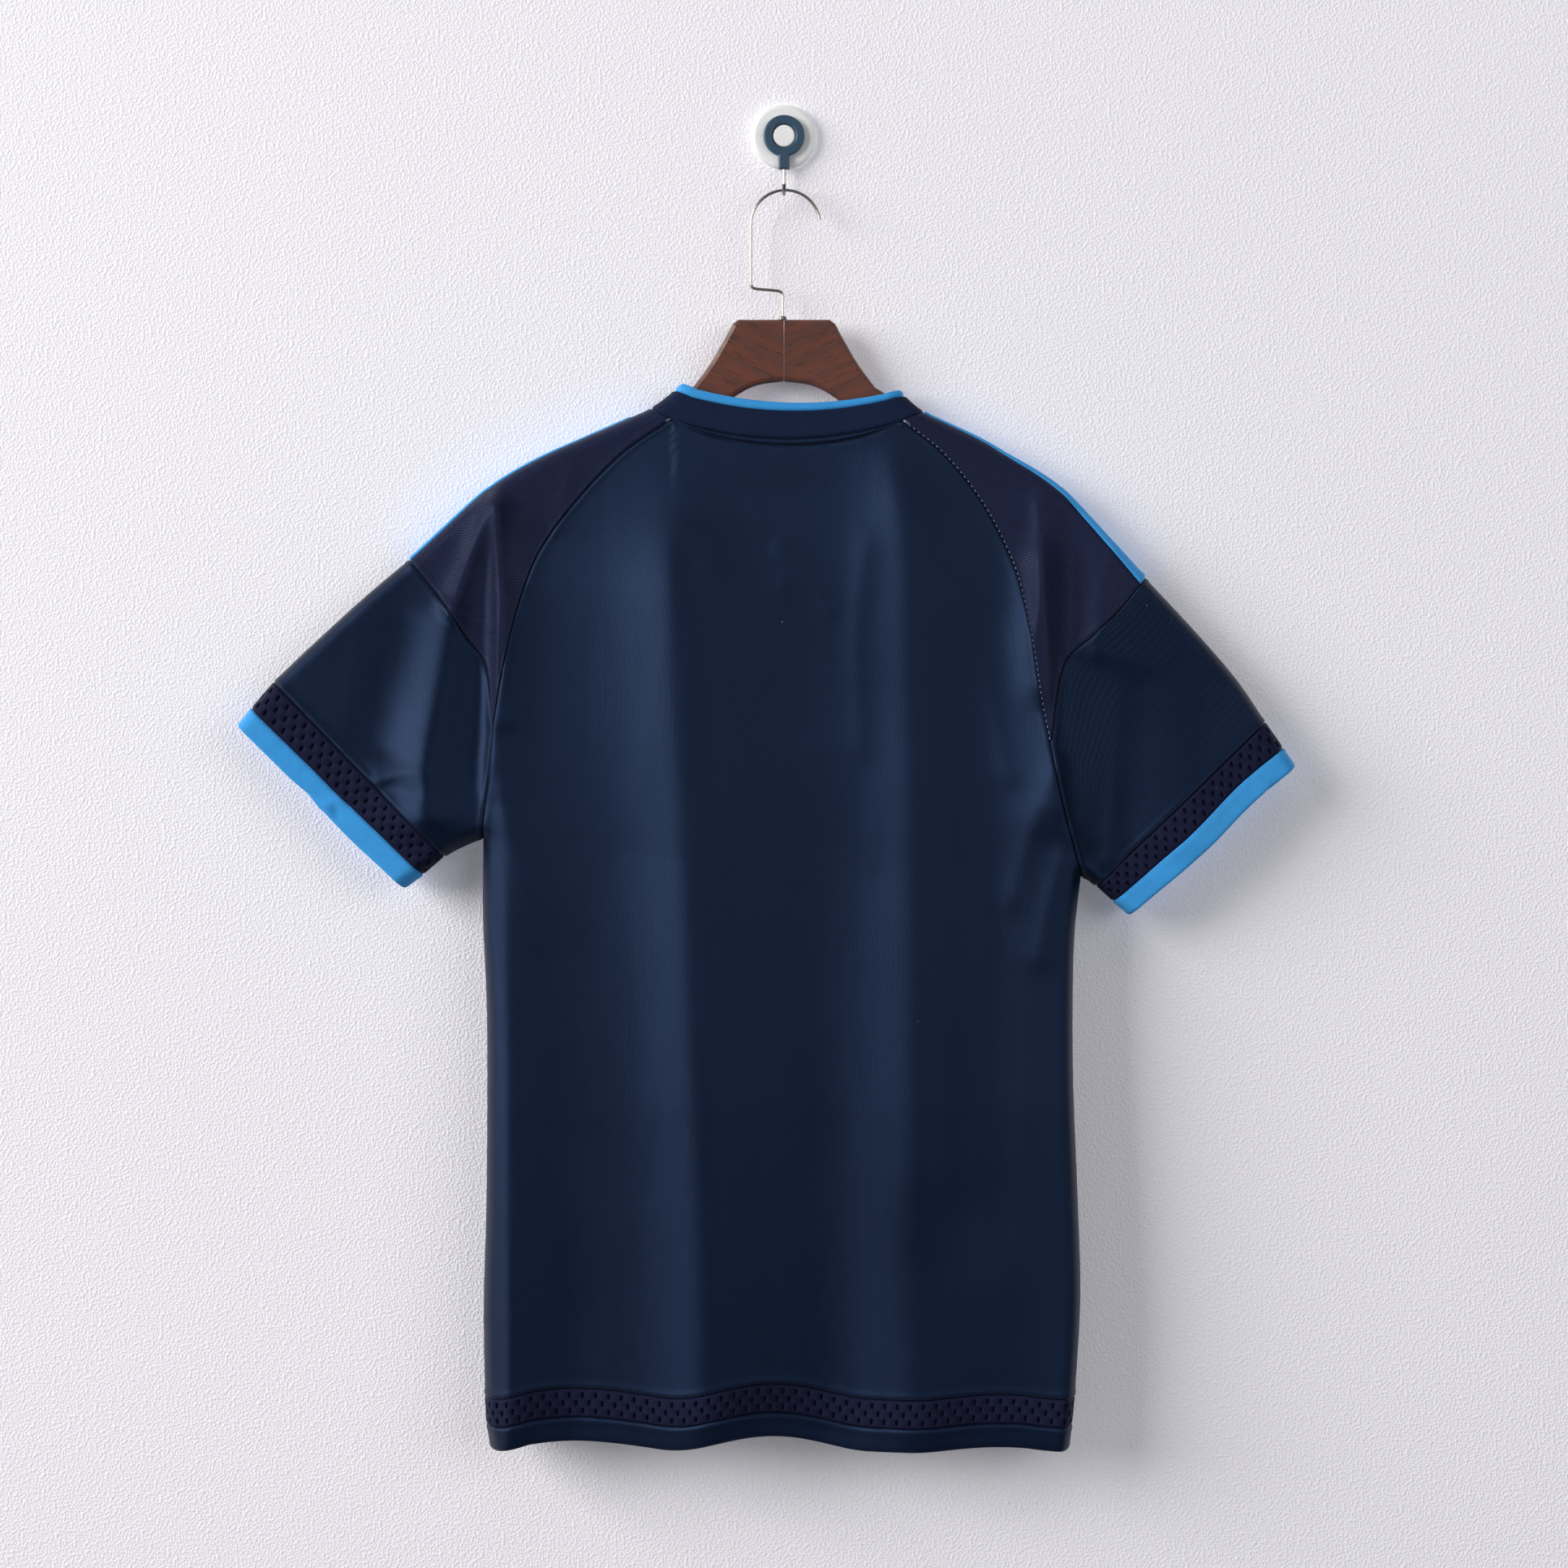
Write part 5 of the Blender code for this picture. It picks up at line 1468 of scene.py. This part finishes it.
# %% Sew the jersey
BAR_TACK = np.arange(0.2, 5.6, 0.75)
TACK_NEAR, TACK_FAR = 0.1, 2.0
BESIDE_BAND, BESIDE_SEAM, IN_THE_SEAM = 1.7, 1.5, 0.45
LEAST_TAPE = 0.9
RAGLAN_STITCH, RAGLAN_SPACE = 1.5, 2.7
TACK_STITCH, TACK_SPACE = 1.7, 0.05

dark_rows, pale_rows, sky_rows = [], [], []
for layer in (BACK, FRONT):
    tape = tape_width(reached(panels[layer][0][0]))
    line, facing = beside(panels[layer], "first_row", tape)
    dark_rows.append((line[tape > LEAST_TAPE], facing[tape > LEAST_TAPE]))
    dark_rows.append(beside(panels[layer], "last_row", BESIDE_BAND))
for side in SIDES:
    dark_rows.append(beside(shoulders[side], "last_row", BESIDE_SEAM))
    dark_rows.append(beside(sleeves[side], "first_row", BESIDE_SEAM))
    dark_rows.append(beside(sleeves[side], "last_row", BESIDE_BAND))
    sky_rows.append(beside(cuffs[side], "first_row", BESIDE_SEAM))
    near, near_out = sampled(*beside(shoulders[side], "first", TACK_NEAR), BAR_TACK)
    far, _ = sampled(*beside(shoulders[side], "first", TACK_FAR), BAR_TACK)
    every_other = (np.arange(len(BAR_TACK)) % 2)[:, None]
    pale_rows.append((near * every_other + far * (1 - every_other), near_out))
raglan = beside(shoulders[RIGHT], "first", IN_THE_SEAM)

thread_rows("stitching_dark", dark_rows, DARK_THREAD)
thread_rows("stitching_sky", sky_rows, SKY_THREAD)
thread_rows("stitching_raglan", [raglan], PALE_THREAD, RAGLAN_STITCH, RAGLAN_SPACE)
thread_rows("bar_tacks", pale_rows, PALE_THREAD, TACK_STITCH, TACK_SPACE)

# %% [markdown]
# The wall is only a backdrop, so it is staged and no part of the object: matt paper with a fine
# leather-like emboss, which is a bump of small smooth cells, and a faint glow for the camera alone.
# It is clear from behind and to shadow rays, so that the jersey's hidden front can be looked at
# from the wall's side, with light on it. Backfacing and Light Path do that in the material itself.

# %% Wall
EMBOSS_CELL, EMBOSS_DEPTH = 0.0019, 0.0006
WALL_GLOW = 0.14
WALL_AT, WALL_TOP, WALL_HALF = 0.0004, 1.7, 3.0
FLOOR_LEVEL = -1.9


def backdrop(name, corners, finish):
    mesh = bpy.data.meshes.new(name)
    mesh.from_pydata(corners, [], [(0, 1, 2, 3)])
    mesh.materials.append(finish)
    piece = bpy.data.objects.new(name, mesh)
    bpy.context.scene.collection.objects.link(piece)


def camera_ray(tree):
    return add_node(tree, "ShaderNodeLightPath").outputs["Is Camera Ray"]


PAPER, tree, shader, given = new_material("embossed_paper")
parts = add_node(tree, "ShaderNodeSeparateXYZ", {0: given["Object"]}).outputs
on_wall = add_node(tree, "ShaderNodeCombineXYZ", {0: parts["X"], 1: parts["Z"]}).outputs[0]
waver = {"Vector": on_wall, "Scale": 0.4 / EMBOSS_CELL}
bent = add_node(tree, "ShaderNodeTexNoise", waver, noise_dimensions="2D").outputs["Color"]
shifted = vector_math(tree, "ADD", on_wall, vector_math(tree, "MULTIPLY", bent, (EMBOSS_CELL,) * 3))
cells = add_node(tree, "ShaderNodeTexVoronoi",
                 {"Vector": shifted, "Scale": 1 / EMBOSS_CELL, "Smoothness": 0.7},
                 feature="SMOOTH_F1", voronoi_dimensions="2D").outputs["Distance"]
cloudy = noise(tree, given["Object"], 1.6)
fill_inputs(tree, shader, {
    "Base Color": mix_colour(tree, cloudy, (0.81, 0.795, 0.845, 1), (0.85, 0.835, 0.88, 1)),
    "Normal": bump(tree, cells, EMBOSS_DEPTH, Strength=0.9),
    "Roughness": 0.62,
    "Specular IOR Level": 0.35,
    "Emission Strength": math_node(tree, "MULTIPLY", camera_ray(tree), WALL_GLOW),
    "Emission Color": (0.95, 0.94, 1.0, 1),
})
behind = add_node(tree, "ShaderNodeNewGeometry").outputs["Backfacing"]
to_lamp = add_node(tree, "ShaderNodeLightPath").outputs["Is Shadow Ray"]
clear = add_node(tree, "ShaderNodeBsdfTransparent").outputs[0]
unseen = math_node(tree, "MAXIMUM", behind, to_lamp)
either = add_node(tree, "ShaderNodeMixShader", {0: unseen, 1: shader.outputs[0], 2: clear})
tree.links.new(either.outputs[0], tree.nodes["Material Output"].inputs["Surface"])
foot, top = ([(x, WALL_AT, z) for x in (-WALL_HALF, WALL_HALF)] for z in (FLOOR_LEVEL, WALL_TOP))
backdrop("backdrop_wall", foot + top[::-1], PAPER)
print("wall", 2 * WALL_HALF, "m wide, its top at", WALL_TOP)

# %% [markdown]
# Far below the jersey lies a wide pale floor, for whoever looks at the object from the side or from
# above. It is pale to the camera and dark to all other rays, because the glossy cloth would
# otherwise mirror it. The Light Path node chooses between the two, and a fine noise clouds the pale
# one.

# %% Floor
FLOOR_GLOW = 0.3
FLOOR_HALF = 15.0

SCREED, tree, shader, given = new_material("pale_screed")
specks = noise(tree, given["Object"], 9.0, 6.0)
pale = mix_colour(tree, specks, (0.62, 0.61, 0.62, 1), (0.70, 0.69, 0.70, 1))
fill_inputs(tree, shader, {
    "Base Color": mix_colour(tree, camera_ray(tree), (0.10, 0.10, 0.11, 1), pale),
    "Roughness": scaled(tree, specks, 0.55, 0.75),
    "Emission Strength": math_node(tree, "MULTIPLY", camera_ray(tree), FLOOR_GLOW),
    "Emission Color": (0.92, 0.91, 0.93, 1),
})
before, beyond = ([(x, y, FLOOR_LEVEL) for x in (-FLOOR_HALF, FLOOR_HALF)] for y in (-FLOOR_HALF, FLOOR_HALF))
backdrop("studio_floor", before + beyond[::-1], SCREED)
print("floor at", FLOOR_LEVEL, "m,", 2 * FLOOR_HALF, "m wide")

# %% [markdown]
# The hanger is two shaped boards of red-brown lacquered hardwood, joined in the middle. Each
# board's grain runs down its own arm, which shows that they were cut apart, so the wood group takes
# the grain's angle. Growth rings are thin stretched bands, bent by noise, with short dark pores
# between them. The lacquer is a clear coat over it.

# %% Hanger wood
RING_WIDTH = 0.007
JOINT_LINE = 0.0007


def wood_group():
    group, given, out = new_group(
        "wood_grain",
        {"Place": ("Vector", None), "Angle": ("Float", 0.0), "Shift": ("Float", 0.0)},
        {"Ring": "Float", "Pore": "Float"},
    )
    turn = {"Vector": vector_math(group, "ADD", given["Place"], given["Shift"]), "Angle": given["Angle"]}
    turned = add_node(group, "ShaderNodeVectorRotate", turn, rotation_type="Y_AXIS").outputs[0]
    long = vector_math(group, "MULTIPLY", turned, (0.12, 1.0, 1.0))
    across = add_node(group, "ShaderNodeSeparateXYZ", {0: long}).outputs
    depth = math_node(group, "ADD", across["Z"], math_node(group, "MULTIPLY", across["Y"], 0.6))
    waved = math_node(group, "MULTIPLY_ADD", noise(group, long, 26.0, 3.0), 0.05, depth)
    ring = math_node(group, "PINGPONG", math_node(group, "DIVIDE", waved, RING_WIDTH), 1.0)
    group.links.new(ring, out["Ring"])
    group.links.new(between(group, noise(group, long, 900.0), 0.56, 0.68), out["Pore"])
    return group


WOOD = wood_group()


def lacquered_wood(name, angle, shift):
    finish, tree, shader, given = new_material(name)
    grain = use_group(tree, WOOD, {"Place": given["Object"], "Angle": angle, "Shift": shift})
    parts = add_node(tree, "ShaderNodeSeparateXYZ", {0: given["Object"]}).outputs
    joint = math_node(tree, "LESS_THAN", math_node(tree, "ABSOLUTE", parts["X"]), JOINT_LINE)
    patch = noise(tree, given["Object"], 17.0)
    colour = mix_colour(tree, patch, (0.110, 0.035, 0.022, 1), (0.185, 0.057, 0.034, 1))
    for mask, share, darker in (
        (grain["Ring"], 0.55, (0.060, 0.022, 0.017, 1)),
        (grain["Pore"], 0.5, (0.022, 0.009, 0.008, 1)),
        (joint, 0.5, (0.012, 0.005, 0.004, 1)),
    ):
        colour = mix_colour(tree, math_node(tree, "MULTIPLY", mask, share), colour, darker)
    fill_inputs(tree, shader, {
        "Base Color": colour,
        "Roughness": scaled(tree, grain["Ring"], 0.34, 0.46),
        "Normal": bump(tree, grain["Pore"], -0.00008, Strength=0.3),
        "Coat Weight": 0.2,
        "Coat Roughness": 0.16,
    })
    return finish


def finish_nodes(finish, *nodes):
    """Gives CAD nodes that are shown as they are a finish of their own."""
    for node in nodes:
        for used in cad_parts[node].material_slots:
            used.material = finish
    print(finish.name, "on", *nodes)


finish_nodes(lacquered_wood("lacquered_wood_left", math.radians(-28), 0.31), "hanger_left")
finish_nodes(lacquered_wood("lacquered_wood_right", math.radians(24), 0.87), "hanger_right")

# %% [markdown]
# The hook wire, its ferrule and the peg are nickel-plated steel with a satin face: a warm grey
# metal whose roughness changes in faint drawn streaks. Two noises make it, a fine one for the
# streaks and a coarser one for the stains. These parts are the CAD model's own, and only their
# material changes.

# %% Hook metal
NICKEL, tree, shader, given = new_material("satin_nickel")
streaks = noise(tree, given["Object"], 900.0, 3.0)
stains = noise(tree, given["Object"], 60.0)
fill_inputs(tree, shader, {
    "Base Color": mix_colour(tree, stains, (0.27, 0.255, 0.235, 1), (0.42, 0.40, 0.37, 1)),
    "Roughness": scaled(tree, streaks, 0.22, 0.42),
    "Normal": bump(tree, streaks, 0.00005, Strength=0.15),
    "Metallic": 1.0,
})
finish_nodes(NICKEL, "hanger_ferrule", "hanger_hook", "hook_peg")

# %% [markdown]
# The plate and its button are smooth white plastic, the ring a satin dark teal. Moulded plastic is
# never quite even, so both get a faint mottle and a very low orange-peel bump from one group.

# %% Plastics
def moulded_group():
    group, given, out = new_group(
        "moulded_plastic",
        {"Place": ("Vector", None), "Dark": ("Color", (0, 0, 0, 1)), "Light": ("Color", (1, 1, 1, 1))},
        {"Color": "Color", "Mottle": "Float", "Normal": "Vector"},
    )
    mottle = noise(group, given["Place"], 90.0, 4.0)
    peel = noise(group, given["Place"], 700.0)
    group.links.new(mix_colour(group, mottle, given["Dark"], given["Light"]), out["Color"])
    group.links.new(mottle, out["Mottle"])
    group.links.new(bump(group, peel, 0.0001, Strength=0.12), out["Normal"])
    return group


MOULDED = moulded_group()


def plastic(name, dark, light, rough):
    finish, tree, shader, given = new_material(name)
    moulded = use_group(tree, MOULDED, {"Place": given["Object"], "Dark": (*dark, 1), "Light": (*light, 1)})
    fill_inputs(tree, shader, {
        "Base Color": moulded["Color"],
        "Normal": moulded["Normal"],
        "Roughness": scaled(tree, moulded["Mottle"], *rough),
    })
    return finish


WHITE_PLASTIC = plastic("smooth_white_plastic", (0.88,) * 3, (0.93,) * 3, (0.26, 0.38))
TEAL_PLASTIC = plastic("satin_teal_plastic", (0.022, 0.062, 0.108), (0.030, 0.080, 0.132), (0.34, 0.5))
finish_nodes(WHITE_PLASTIC, "hook_plate", "hook_button")
finish_nodes(TEAL_PLASTIC, "hook_ring")
